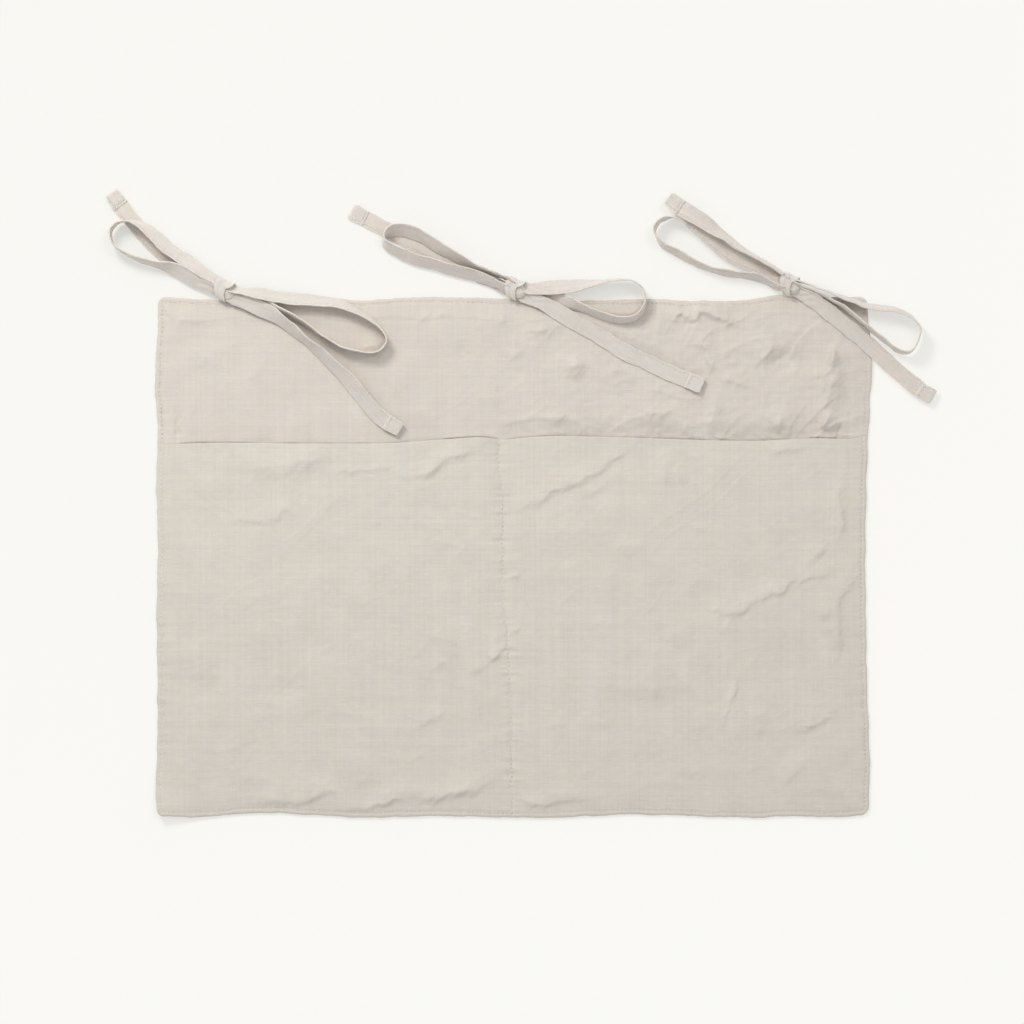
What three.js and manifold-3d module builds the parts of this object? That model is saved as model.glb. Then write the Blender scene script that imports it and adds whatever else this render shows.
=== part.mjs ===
// Bedside caddy: a linen panel with two open pockets, hung by three tapes tied in bows.
// It lies on its back, in millimetres: +X right, +Y towards the tapes, +Z out of the pockets.
// The origin is the middle of the back panel's outer face.
import * as THREE from "three";
import { mergeVertices } from "three/addons/utils/BufferGeometryUtils.js";
import Module from "manifold-3d";

const wasm = await Module();
wasm.setup();

// Panel and pockets
const panelWidth = 550;
const panelHeight = 400;
const clothThickness = 1;
const cornerRadius = 6;
const cornerSteps = 6;
const pocketHeight = 290;
const pocketClothThickness = 1;
const pocketGape = 4.5;
const seamMargin = 6;
const dividerX = -4;
const dividerMargin = 6;
const flankWidth = 42;
const flankSteps = 5;

// Thread
const stitchInset = 3.5;
const threadWidth = 0.8;
const threadHeight = 0.3;

// Clearance between pieces that lie on or beside each other
const restGap = 0.3;

// Tapes, and how they are caught in the top seam
const tapeWidth = 12.5;
const tapeThickness = 1.2;
const tapeGather = 0.72;
const gatherLength = 22;
const hemLength = 11;
const hemThickness = 1.9;
const hemStitchSetback = 1.6;
const hemStitchShare = 0.84;
const ringsPerPoint = 3;
const stemTuck = 8;
const stemTuckHeight = 0.5;
const stemReach = 4;
const stemHeight = 1;
const leftTieInset = 53.4;
const rightTieInset = 59;
const middleTieX = 3.5;

// Knots
const knotLength = 19;
const knotWidth = 16;
const knotHeight = 8.4;
const wrapWidth = 6;
const wrapThickness = 0.8;
const wrapLean = 18;
const knotFaceGap = 0.5;
const knotEndWidth = 10;
const knotTurns = 12;
const knotRings = 6;

const bodyLinen = new THREE.MeshStandardMaterial({ color: 0xd5cec2, roughness: 0.95 });
const pocketLinen = new THREE.MeshStandardMaterial({ color: 0xd3ccc0, roughness: 0.95 });
const tapeLinen = new THREE.MeshStandardMaterial({ color: 0xdbd4c9, roughness: 0.92 });
const thread = new THREE.MeshStandardMaterial({ color: 0xc9c1b3, roughness: 0.8 });

// Each bow has an outer half, which lies beyond the top edge, and an inner half, over the panel.
// A half leaves the knot along its heading, in degrees from +X. Its ends are [side, low, roll]:
// millimetres to the left of the heading, height of the low edge over the knot's underside, and roll.
// Its points are [x, y, low, roll]: place from the knot's middle, height of the low edge over what
// the half lies on, and roll. Roll 0 is flat, 90 on edge, and below 90 raises the left edge.
// A loop runs anticlockwise, so its left edge is its inner one.
const ties = [
  {
    name: "left",
    x: leftTieInset - panelWidth / 2,
    rise: 5.9,
    outer: {
      heading: 150,
      loop: {
        start: [-4.2, 1.6, 50],
        points: [
          [-18.5, 16, 3.2, 48], [-31.2, 24.2, 2.2, 44], [-43, 32.5, 1.9, 38], [-55, 43, 1.9, 42],
          [-66.5, 51.5, 2.2, 62], [-76.5, 55, 2.6, 82], [-85, 51.5, 3.2, 92], [-89, 44.5, 3.4, 95],
          [-86.5, 35.5, 3, 88], [-76.5, 28.5, 2.4, 80], [-65, 23.5, 2, 76], [-52.5, 19.5, 1.9, 66],
          [-40, 16, 2, 52], [-22.8, 7.5, 3.2, 50],
        ],
        end: [4.2, 1.6, 50],
      },
      tail: {
        start: [0, 0, 0],
        points: [
          [-28.5, 17, 0.8, 0], [-50.5, 31, 0.3, 0], [-68, 49.5, 0.3, 0], [-83, 67.5, 0.3, 0],
          [-88.5, 76.5, 0.3, 0],
        ],
      },
    },
    inner: {
      heading: -22,
      loop: {
        start: [-0.6, 0, 5],
        points: [
          [24.5, -8.6, 0, 12], [37.2, -14, 0, 50], [49, -19, 0, 68], [61, -25, 0, 78],
          [75, -35, 0, 86], [90.5, -43.5, 0, 90], [105, -47, 0, 92], [117.5, -46.5, 0, 94],
          [124, -39, 0.2, 96], [121.5, -30.5, 0.4, 88], [113, -22, 0.4, 76], [100.5, -15, 0.4, 68],
          [86.5, -9.5, 0.5, 58], [71, -7.5, 0.6, 44], [54, -6.1, 0.8, 38], [37.5, -3.8, 1.2, 42],
          [22, -1, 1.6, 42],
        ],
        end: [4.4, 1.6, 50],
      },
      tail: {
        start: [-4.6, 1.6, 50],
        points: [
          [18, -10, 1.5, 52], [28, -14, 1.4, 56], [39, -19, 1.2, 60], [47.5, -26, 0.6, 60],
          [61.5, -38, 0.2, 62], [75.5, -50, 0, 52], [94.5, -68.5, 0, 32], [109.5, -87.5, 0, 22],
          [120, -98, 0, 10], [134, -107, 0, 5],
        ],
      },
    },
  },
  {
    name: "middle",
    x: middleTieX,
    rise: 7,
    outer: {
      heading: 154,
      loop: {
        start: [-4.6, 1.6, 105],
        points: [
          [-16.5, 12, 3, 105], [-30, 17, 2.2, 108], [-42.5, 23.5, 1.9, 118], [-59.5, 32.5, 1.9, 130],
          [-75, 42, 1.9, 135], [-88, 46.5, 1.9, 138], [-97.5, 46, 1.9, 124], [-102.5, 41, 1.9, 90],
          [-100.5, 34.5, 1.9, 62], [-92, 29.5, 1.9, 50], [-79.5, 24, 1.9, 48], [-65.5, 20, 1.9, 50],
          [-51.5, 16, 1.9, 52], [-36, 12.5, 2, 50], [-20.5, 7, 3, 46],
        ],
        end: [2.6, 1.6, 50],
      },
      tail: {
        start: [2.5, 0, 0],
        points: [
          [-22, 8.5, 1.2, 0], [-36, 16.5, 0.5, 0], [-58, 27, 0.3, 0], [-81, 37, 0.3, 0],
          [-107.5, 50.5, 0.3, 0], [-127.5, 61, 0.3, 0],
        ],
      },
    },
    inner: {
      heading: -20,
      loop: {
        start: [-1.2, 0, 0],
        points: [
          [22, -5, 0, 3], [30.5, -6.8, 0, 12], [43, -11.2, 0, 52], [57, -16.5, 0, 68],
          [69.5, -21, 0, 68], [80.5, -23, 0, 68], [90.5, -22, 0, 72], [97.5, -16, 0.2, 78],
          [100, -7.5, 0.4, 84], [97, 1.5, 0.4, 86], [89.5, 7, 0.4, 84], [79.5, 8, 0.4, 82],
          [69, 6.5, 0.5, 76], [57, 4.7, 0.8, 60], [41.5, 2.9, 2.4, 36], [27.5, 1.8, 3.6, 18],
        ],
        end: [4.6, 3, 15],
      },
      tail: {
        start: [-3, 1.9, 8],
        points: [
          [18.5, -9.5, 2.6, 6], [30.5, -16, 2.4, 4], [48.5, -26.5, 1.2, 0], [67.5, -37.5, 0.2, 0],
          [87, -49.5, 0, 0], [106, -58, 0, 0], [125.5, -67, 0.3, 0], [143, -74.5, 0.8, 0],
        ],
      },
    },
  },
  {
    name: "right",
    x: panelWidth / 2 - rightTieInset,
    rise: 10.5,
    outer: {
      heading: 154,
      loop: {
        start: [-0.4, 0.2, 24],
        points: [
          [-15.5, 8.5, 1.5, 26], [-27, 14.5, 1, 30], [-48, 25, 0.6, 38], [-64, 38.5, 0.4, 40],
          [-76, 48.5, 0.4, 36], [-84.5, 52, 1, 62], [-95, 52.5, 2, 98], [-102, 49.5, 2.5, 104],
          [-105.5, 43, 2.5, 100], [-104, 37, 2.2, 88], [-98.5, 31, 1.8, 74], [-88, 25, 1.2, 66],
          [-75.5, 18, 0.8, 64], [-61, 12.5, 0.6, 64], [-43, 8.5, 0.6, 66], [-25.5, 6, 1.6, 68],
        ],
        end: [5.8, 1, 68],
      },
      tail: {
        start: [-5.8, 0.6, 75],
        points: [
          [-23.5, 20, 3, 74], [-36, 27, 2.5, 72], [-47, 35, 2.5, 62], [-57.5, 41.5, 4, 40],
          [-65.5, 47.5, 7.5, 20], [-75.5, 54, 9.5, 8], [-85.5, 60, 9, 0], [-94.5, 67, 7.5, 0],
        ],
      },
    },
    inner: {
      heading: -26,
      loop: {
        start: [3.4, 0.2, 88],
        points: [
          [19, -4.5, 0.2, 88], [29.5, -10.5, 0, 86], [41, -17.5, 0, 84], [52, -26, 0, 84],
          [62.5, -34.5, 0, 84], [71, -42, 0, 84], [80.5, -49.5, 0, 84], [87.5, -52, 0.2, 84],
          [93, -50.5, 0.4, 84], [98, -44.5, 0.4, 84], [100, -37.5, 0.4, 82], [99, -31.5, 0.4, 80],
          [93, -24.5, 0.4, 76], [82.5, -19.5, 0.4, 72], [71, -17.5, 0.4, 68], [59, -16, 0.4, 66],
          [45, -11.5, 0.8, 72], [31, -6, 1.2, 80],
        ],
        end: [6.4, 1.2, 84],
      },
      tail: {
        start: [-2.6, 0.8, 20],
        points: [
          [20, -13.5, 0.8, 18], [33, -23, 0.6, 12], [56, -42, 0.3, 6], [73, -57.5, 0.2, 4],
          [85, -68, 0, 0], [100.5, -80.5, 0, 0], [110, -86, 0, 0],
        ],
      },
    },
  },
];

// Levels and lines that several pieces share
const left = -panelWidth / 2;
const right = panelWidth / 2;
const bottom = -panelHeight / 2;
const top = panelHeight / 2;
const mouthY = bottom + pocketHeight;
const panelTop = 2 * clothThickness;
const marginTop = panelTop + pocketClothThickness;
const knotLow = panelTop + threadHeight + restGap;
const outerBase = 0;
const innerBase = panelTop + threadHeight + restGap;

const radians = THREE.MathUtils.degToRad;

// Closed geometry as a solid, with shared vertices merged and slivers at the poles left out
function toSolid(geometry) {
  const bare = geometry.index ? geometry.toNonIndexed() : geometry.clone();
  bare.deleteAttribute("normal");
  bare.deleteAttribute("uv");
  const merged = mergeVertices(bare, 1e-4);
  const corners = merged.index.array;
  const kept = [];
  for (let i = 0; i < corners.length; i += 3) {
    const [a, b, c] = corners.slice(i, i + 3);
    if (a !== b && b !== c && c !== a) kept.push(a, b, c);
  }
  const vertProperties = merged.attributes.position.array;
  return new wasm.Manifold(
    new wasm.Mesh({ numProp: 3, vertProperties, triVerts: new Uint32Array(kept) }),
  );
}

function toGeometry(solid) {
  const mesh = solid.getMesh();
  const geometry = new THREE.BufferGeometry();
  geometry.setAttribute("position", new THREE.BufferAttribute(mesh.vertProperties, 3));
  geometry.setIndex(new THREE.BufferAttribute(mesh.triVerts, 1));
  geometry.computeVertexNormals();
  return geometry;
}

function namedMesh(name, geometry, material) {
  const mesh = new THREE.Mesh(geometry, material);
  mesh.name = name;
  return mesh;
}

function extruded(shape, low, height) {
  const geometry = new THREE.ExtrudeGeometry(shape, { depth: height, bevelEnabled: false, curveSegments: cornerSteps });
  return geometry.translate(0, 0, low);
}

function box(xLow, xHigh, yLow, yHigh, zLow, zHigh) {
  const geometry = new THREE.BoxGeometry(xHigh - xLow, yHigh - yLow, zHigh - zLow);
  return geometry.translate((xLow + xHigh) / 2, (yLow + yHigh) / 2, (zLow + zHigh) / 2);
}

// The panel's outline, with its rounded corners
function panelShape() {
  const r = cornerRadius;
  const shape = new THREE.Shape();
  shape.moveTo(left + r, bottom);
  shape.lineTo(right - r, bottom);
  shape.absarc(right - r, bottom + r, r, -Math.PI / 2, 0, false);
  shape.lineTo(right, top - r);
  shape.absarc(right - r, top - r, r, 0, Math.PI / 2, false);
  shape.lineTo(left + r, top);
  shape.absarc(left + r, top - r, r, Math.PI / 2, Math.PI, false);
  shape.lineTo(left, bottom + r);
  shape.absarc(left + r, bottom + r, r, Math.PI, 1.5 * Math.PI, false);
  return shape;
}

function backPanel() {
  return namedMesh("back_panel", extruded(panelShape(), 0, clothThickness), bodyLinen);
}

// The front panel has a shallow recess on its underside for each tape's root, sewn into the seam
function frontPanel() {
  let panel = toSolid(extruded(panelShape(), clothThickness, clothThickness));
  for (const tie of ties) {
    const recess = box(
      tie.x - tapeWidth / 2, tie.x + tapeWidth / 2,
      top - stemTuck, top + restGap,
      clothThickness, clothThickness + stemTuckHeight,
    );
    panel = panel.subtract(toSolid(recess));
  }
  return namedMesh("front_panel", toGeometry(panel), bodyLinen);
}

// The pocket cloth's sewn-down edges: strips of the panel's outline, one cloth above the front panel
function pocketMargins() {
  const slab = toSolid(extruded(panelShape(), panelTop, pocketClothThickness));
  const innerLow = bottom + seamMargin;
  const half = dividerMargin / 2;
  const strips = {
    pocket_bottom_margin: [left, right, bottom, innerLow],
    pocket_left_margin: [left, left + seamMargin, innerLow, mouthY],
    pocket_right_margin: [right - seamMargin, right, innerLow, mouthY],
    pocket_divider_margin: [dividerX - half, dividerX + half, innerLow, mouthY],
  };
  return Object.entries(strips).map(([name, [xLow, xHigh, yLow, yHigh]]) => {
    const strip = slab.intersect(toSolid(box(xLow, xHigh, yLow, yHigh, 0, marginTop + restGap)));
    return namedMesh(name, toGeometry(strip), pocketLinen);
  });
}

// A thread that runs up one side, across and down the other, closed at the top or the bottom edge
function edgeStitch(name, yOpen, yClosed, low) {
  const outer = right - stitchInset + threadWidth / 2;
  const inner = outer - threadWidth;
  const towards = Math.sign(yClosed - yOpen);
  const yOuter = yClosed - towards * (stitchInset - threadWidth / 2);
  const yInner = yOuter - towards * threadWidth;
  const chamfer = cornerRadius / 2;
  const shape = new THREE.Shape([
    new THREE.Vector2(-outer, yOpen),
    new THREE.Vector2(-outer, yOuter - towards * chamfer),
    new THREE.Vector2(-outer + chamfer, yOuter),
    new THREE.Vector2(outer - chamfer, yOuter),
    new THREE.Vector2(outer, yOuter - towards * chamfer),
    new THREE.Vector2(outer, yOpen),
    new THREE.Vector2(inner, yOpen),
    new THREE.Vector2(inner, yInner - towards * chamfer),
    new THREE.Vector2(inner - chamfer, yInner),
    new THREE.Vector2(-inner + chamfer, yInner),
    new THREE.Vector2(-inner, yInner - towards * chamfer),
    new THREE.Vector2(-inner, yOpen),
  ]);
  return namedMesh(name, extruded(shape, low, threadHeight), thread);
}

function dividerStitch() {
  const half = threadWidth / 2;
  const yLow = bottom + stitchInset + threadWidth;
  const line = box(dividerX - half, dividerX + half, yLow, mouthY, marginTop, marginTop + threadHeight);
  return namedMesh("divider_stitch", line, thread);
}

// A closed sheet over a grid of x and y lines, one cloth thick above its underside
function sheetGeometry(xs, ys, underside, thickness) {
  const corner = (i, j, lift) => [xs[i], ys[j], underside(xs[i], ys[j]) + lift];
  const low = (i, j) => corner(i, j, 0);
  const high = (i, j) => corner(i, j, thickness);
  const triangles = [];
  const quad = (a, b, c, d) => triangles.push(...a, ...b, ...c, ...a, ...c, ...d);
  const lastX = xs.length - 1;
  const lastY = ys.length - 1;
  for (let i = 0; i < lastX; i += 1) {
    for (let j = 0; j < lastY; j += 1) {
      quad(high(i, j), high(i + 1, j), high(i + 1, j + 1), high(i, j + 1));
      quad(low(i, j + 1), low(i + 1, j + 1), low(i + 1, j), low(i, j));
    }
    quad(low(i, 0), low(i + 1, 0), high(i + 1, 0), high(i, 0));
    quad(low(i + 1, lastY), low(i, lastY), high(i, lastY), high(i + 1, lastY));
  }
  for (let j = 0; j < lastY; j += 1) {
    quad(low(lastX, j), low(lastX, j + 1), high(lastX, j + 1), high(lastX, j));
    quad(low(0, j + 1), low(0, j), high(0, j), high(0, j + 1));
  }
  const geometry = new THREE.BufferGeometry();
  geometry.setAttribute("position", new THREE.Float32BufferAttribute(triangles, 3));
  geometry.computeVertexNormals();
  return geometry;
}

// A pocket front rises from its seams to a flat middle and stays open at the mouth
function pocketFront(name, xLow, xHigh) {
  const yLow = bottom + seamMargin + restGap;
  const flank = Array.from({ length: flankSteps + 1 }, (_, i) => (flankWidth * i) / flankSteps);
  const xs = [...flank.map((d) => xLow + d), ...flank.map((d) => xHigh - d).reverse()];
  const ys = [...flank.map((d) => yLow + d), mouthY];
  const rise = (distance) => THREE.MathUtils.smoothstep(distance, 0, flankWidth);
  const underside = (x, y) => {
    const side = Math.min(x - xLow, xHigh - x);
    return panelTop + restGap + (pocketGape - restGap) * rise(side) * rise(y - yLow);
  };
  return namedMesh(name, sheetGeometry(xs, ys, underside, pocketClothThickness), pocketLinen);
}

// The tape's folded root: a tongue in the top seam, and a stub that carries the knot
function tieStem(tie) {
  const xLow = tie.x - tapeWidth / 2;
  const xHigh = tie.x + tapeWidth / 2;
  const tongue = box(xLow, xHigh, top - stemTuck, top, clothThickness, clothThickness + stemTuckHeight);
  const stub = box(xLow, xHigh, top, top + stemReach, clothThickness, clothThickness + stemHeight);
  const stem = toSolid(tongue).add(toSolid(stub));
  return namedMesh(`${tie.name}_tie_stem`, toGeometry(stem), tapeLinen);
}

// A knot is a rounded drum along the bow, with the tape's last turn wrapped round its middle.
// The tapes leave it at its flat ends.
function tieKnot(tie) {
  const side = Array.from({ length: knotRings + 1 }, (_, i) => {
    const angle = Math.PI * (i / knotRings - 0.5);
    const width = knotEndWidth + (knotWidth - knotEndWidth) * Math.cos(angle);
    return new THREE.Vector2(width / 2, (Math.sin(angle) * knotLength) / 2);
  });
  const ends = [-knotLength / 2, knotLength / 2].map((y) => new THREE.Vector2(0, y));
  const barrel = new THREE.LatheGeometry([ends[0], ...side, ends[1]], knotTurns);
  const wrapRadius = knotWidth / 2 + wrapThickness;
  const wrapHalf = wrapWidth / 2;
  const wrapShape = [
    new THREE.Vector2(0, -wrapHalf),
    new THREE.Vector2(wrapRadius, -wrapHalf),
    new THREE.Vector2(wrapRadius, wrapHalf),
    new THREE.Vector2(0, wrapHalf),
  ];
  const wrap = new THREE.LatheGeometry(wrapShape, knotTurns).rotateZ(radians(wrapLean));
  const knot = toGeometry(toSolid(barrel).add(toSolid(wrap)));
  const bowAxis = (tie.outer.heading + tie.inner.heading + 180) / 2;
  const halfHeight = ((knotWidth / 2 + wrapThickness) * knotHeight) / knotWidth;
  knot.scale(1, 1, knotHeight / knotWidth);
  knot.rotateZ(radians(bowAxis - 90));
  knot.translate(tie.x, top + tie.rise, knotLow + halfHeight);
  return namedMesh(`${tie.name}_knot`, knot, tapeLinen);
}

// Full width away from the knot, gathered where the knot draws the tape in
function widthAt(distance) {
  return tapeWidth * (tapeGather + (1 - tapeGather) * THREE.MathUtils.smoothstep(distance, 0, gatherLength));
}

// Stations of a tape along its route, each with its middle, its directions and its width
function tapeStations(tie, half, base, route) {
  const middle = new THREE.Vector3(tie.x, top + tie.rise, 0);
  const heading = new THREE.Vector3(Math.cos(radians(half.heading)), Math.sin(radians(half.heading)), 0);
  const leftward = new THREE.Vector3(-heading.y, heading.x, 0);
  const faceDistance = knotLength / 2 + knotFaceGap;
  const atKnot = ([side, low, roll]) => ({
    place: middle.clone().addScaledVector(heading, faceDistance).addScaledVector(leftward, side),
    state: new THREE.Vector3(knotLow + low, roll, 0),
  });
  const onRoute = ([x, y, low, roll]) => ({
    place: new THREE.Vector3(middle.x + x, middle.y + y, 0),
    state: new THREE.Vector3(base + low, roll, 0),
  });
  const stops = [atKnot(route.start), ...route.points.map(onRoute)];
  if (route.end) stops.push(atKnot(route.end));
  const places = new THREE.CatmullRomCurve3(stops.map((s) => s.place), false, "catmullrom");
  const states = new THREE.CatmullRomCurve3(stops.map((s) => s.state), false, "catmullrom");
  const count = (stops.length - 1) * ringsPerPoint;
  const stations = [];
  for (let i = 0; i <= count; i += 1) {
    const place = places.getPoint(i / count);
    const [low, roll] = states.getPoint(i / count).toArray();
    const width = widthAt(place.distanceTo(middle) - faceDistance);
    const lean = radians(roll);
    const halfHeight = (width * Math.abs(Math.sin(lean)) + tapeThickness * Math.abs(Math.cos(lean))) / 2;
    stations.push({ at: place.setZ(low + halfHeight), lean, width });
  }
  stations.forEach((station, i) => {
    const before = stations[Math.max(i - 1, 0)].at;
    const after = stations[Math.min(i + 1, count)].at;
    station.along = after.clone().sub(before).normalize();
  });
  stations[0].along = heading.clone();
  if (route.end) stations[count].along = heading.clone().negate();
  for (const station of stations) {
    const level = new THREE.Vector3(0, 0, 1).cross(station.along).normalize();
    const upward = station.along.clone().cross(level);
    station.across = level.multiplyScalar(Math.cos(station.lean)).addScaledVector(upward, Math.sin(station.lean));
    station.face = station.along.clone().cross(station.across);
  }
  return stations;
}

function ringCorners({ at, across, face, width }, thickness) {
  const signs = [[1, 1], [-1, 1], [-1, -1], [1, -1]];
  return signs.map(([a, f]) =>
    at.clone().addScaledVector(across, (a * width) / 2).addScaledVector(face, (f * thickness) / 2),
  );
}

function loftGeometry(rings) {
  const triangles = [];
  const quad = (a, b, c, d) => [a, b, c, a, c, d].forEach((p) => triangles.push(p.x, p.y, p.z));
  for (let i = 0; i + 1 < rings.length; i += 1) {
    const near = rings[i];
    const far = rings[i + 1];
    for (let k = 0; k < 4; k += 1) {
      const next = (k + 1) % 4;
      quad(near[k], near[next], far[next], far[k]);
    }
  }
  const first = rings[0];
  const last = rings[rings.length - 1];
  quad(first[0], first[3], first[2], first[1]);
  quad(last[0], last[1], last[2], last[3]);
  const geometry = new THREE.BufferGeometry();
  geometry.setAttribute("position", new THREE.Float32BufferAttribute(triangles, 3));
  geometry.computeVertexNormals();
  return geometry;
}

function tieLoop(name, tie, half, base) {
  const stations = tapeStations(tie, half, base, half.loop);
  const rings = stations.map((station) => ringCorners(station, tapeThickness));
  return namedMesh(`${name}_loop`, loftGeometry(rings), tapeLinen);
}

// A tail ends in a hem, folded under and stitched, so it is thicker there
function tieTail(name, tie, half, base) {
  const stations = tapeStations(tie, half, base, half.tail);
  const tip = stations[stations.length - 1];
  const hemStart = { ...tip, at: tip.at.clone().addScaledVector(tip.along, -hemLength) };
  const plain = stations.filter((station) => station.at.distanceTo(tip.at) > hemLength + tapeThickness);
  const sunk = (hemThickness - tapeThickness) / 2;
  const thicker = (station) => ({ ...station, at: station.at.clone().addScaledVector(station.face, sunk) });
  const rings = plain.map((station) => ringCorners(station, tapeThickness));
  const step = { ...hemStart, at: hemStart.at.clone().addScaledVector(tip.along, -tapeThickness / 2) };
  rings.push(ringCorners(step, tapeThickness));
  rings.push(ringCorners(thicker(hemStart), hemThickness));
  rings.push(ringCorners(thicker(tip), hemThickness));
  const tail = namedMesh(`${name}_tail`, loftGeometry(rings), tapeLinen);

  const seat = hemThickness - tapeThickness / 2 + restGap;
  const stitchAt = hemStart.at.clone().addScaledVector(tip.along, hemStitchSetback);
  const bar = [0, threadWidth].map((offset) => {
    const at = stitchAt.clone().addScaledVector(tip.along, offset);
    at.addScaledVector(tip.face, seat + threadHeight / 2);
    return ringCorners({ ...tip, at, width: tip.width * hemStitchShare }, threadHeight);
  });
  const stitch = namedMesh(`${name}_tail_stitch`, loftGeometry(bar), thread);
  return [tail, stitch];
}

function tieBow(tie) {
  const bow = new THREE.Group();
  bow.add(tieStem(tie), tieKnot(tie));
  const halves = [["outer", tie.outer, outerBase], ["inner", tie.inner, innerBase]];
  for (const [side, half, base] of halves) {
    const name = `${tie.name}_${side}`;
    bow.add(tieLoop(name, tie, half, base), ...tieTail(name, tie, half, base));
  }
  return bow;
}

const group = new THREE.Group();
const dividerLow = dividerX - dividerMargin / 2 - restGap;
const dividerHigh = dividerX + dividerMargin / 2 + restGap;
group.add(backPanel(), frontPanel(), ...pocketMargins());
group.add(
  edgeStitch("header_topstitch", mouthY + restGap, top, panelTop),
  edgeStitch("pocket_topstitch", mouthY, bottom, marginTop),
  dividerStitch(),
);
group.add(
  pocketFront("pocket_front_left", left + seamMargin + restGap, dividerLow),
  pocketFront("pocket_front_right", dividerHigh, right - seamMargin - restGap),
);
group.add(...ties.map(tieBow));

export default group;
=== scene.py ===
"""A linen bedside caddy: a panel with two open pockets, hung by three tapes tied in bows.

It lies on its back in the part's own frame, in metres: +X right, +Y towards the tapes, +Z out of the pockets.
Sizes in the lists below are in millimetres.
"""

import functools
import math

import bmesh
import bpy
import numpy as np
from mathutils import Matrix, Vector


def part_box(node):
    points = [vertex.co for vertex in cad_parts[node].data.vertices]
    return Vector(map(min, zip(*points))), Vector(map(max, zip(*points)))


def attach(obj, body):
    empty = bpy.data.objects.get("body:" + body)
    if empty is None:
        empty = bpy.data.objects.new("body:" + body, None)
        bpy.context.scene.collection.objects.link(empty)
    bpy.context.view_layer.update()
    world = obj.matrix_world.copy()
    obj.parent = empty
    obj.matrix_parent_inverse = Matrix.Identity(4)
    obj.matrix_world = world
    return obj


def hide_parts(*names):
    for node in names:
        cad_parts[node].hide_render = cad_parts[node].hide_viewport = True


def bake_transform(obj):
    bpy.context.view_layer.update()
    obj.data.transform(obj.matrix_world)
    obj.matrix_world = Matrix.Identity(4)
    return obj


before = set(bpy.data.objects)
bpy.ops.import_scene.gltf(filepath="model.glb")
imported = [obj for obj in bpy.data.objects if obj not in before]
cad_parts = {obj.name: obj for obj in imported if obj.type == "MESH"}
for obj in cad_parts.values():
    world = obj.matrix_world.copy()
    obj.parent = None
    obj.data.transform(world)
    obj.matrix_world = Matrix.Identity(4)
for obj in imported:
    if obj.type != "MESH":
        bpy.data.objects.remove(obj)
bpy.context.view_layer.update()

bl_info = {
    "name": "Bedside caddy",
    "version": (1, 0, 0),
    "blender": (4, 5, 0),
    "location": "View3D > Sidebar > Caddy",
    "description": "Linen bedside caddy with two pockets and three tapes tied in bows",
    "category": "Add Mesh",
}

MM = 0.001
ROOT = "caddy"
FRONT_PIECES = ["front_panel_linen_left", "front_panel_linen_right"]

# Levels and lines taken from the frame
PANEL_LOW, PANEL_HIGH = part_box("back_panel")
FRONT_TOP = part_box("front_panel")[1].z
SEAM_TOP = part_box("pocket_bottom_margin")[1].z
MOUTH_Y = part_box("pocket_front_left")[1].y
MARGIN_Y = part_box("pocket_bottom_margin")[1].y
POCKET_MIDDLES = [sum(c.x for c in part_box(f"pocket_front_{side}")) / 2 for side in ("left", "right")]
KNOT_BOXES = {name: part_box(f"{name}_knot") for name in ("left", "middle", "right")}

# Edges of the lying panel, as (place along the edge, distance from the middle), and the lines of the mouth
# and the divider
TOP_EDGE = [
    (-275, 201.8), (-262, 201.5), (-230, 199), (-140, 201.7), (-116, 199), (-98, 200.5), (-57, 201.7),
    (-2, 200.5), (64, 199), (106, 200.5), (149, 198.5), (183, 199.6), (206, 203.4), (220, 202.2), (275, 202)]
BOTTOM_EDGE = [
    (-275, -200.7), (-240, -201.6), (-195, -198.5), (-157, -199.8), (-120, -202), (-60, -201), (25, -202.4),
    (83, -200), (117, -200), (148, -201), (178, -202.4), (224, -201), (262, -201.6), (275, -199.5)]
LEFT_EDGE = [
    (-200, -275), (-175, -276.3), (-150, -275.4), (-100, -275), (-50, -275.8), (5, -274.8), (65, -275.8),
    (92, -274.8), (134, -277.1), (178, -274.8), (200, -274.3)]
RIGHT_EDGE = [
    (-200, 276.6), (-175, 277.8), (-120, 276.4), (-50, 274.8), (22, 274.4), (63, 275.4), (92, 276.5),
    (121, 278), (154, 279.4), (180, 277), (200, 275.6)]
MOUTH_LINE = [
    (-275, 86.5), (-262, 87.5), (-157, 88.1), (-91, 88.6), (-50, 91.5), (-22, 92.8), (-7, 91.3), (15, 93.2),
    (74, 93.2), (118, 91.8), (153, 90.6), (193, 90.3), (233, 92.2), (262, 92), (275, 94)]
DIVIDER_LINE = [
    (-200, 0), (-150, -0.8), (-103, -1.6), (-64, -3.9), (-38, -7), (5, -7.2), (60, -8.8), (76, -11),
    (84, -10.2), (93, -9.7)]

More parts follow.
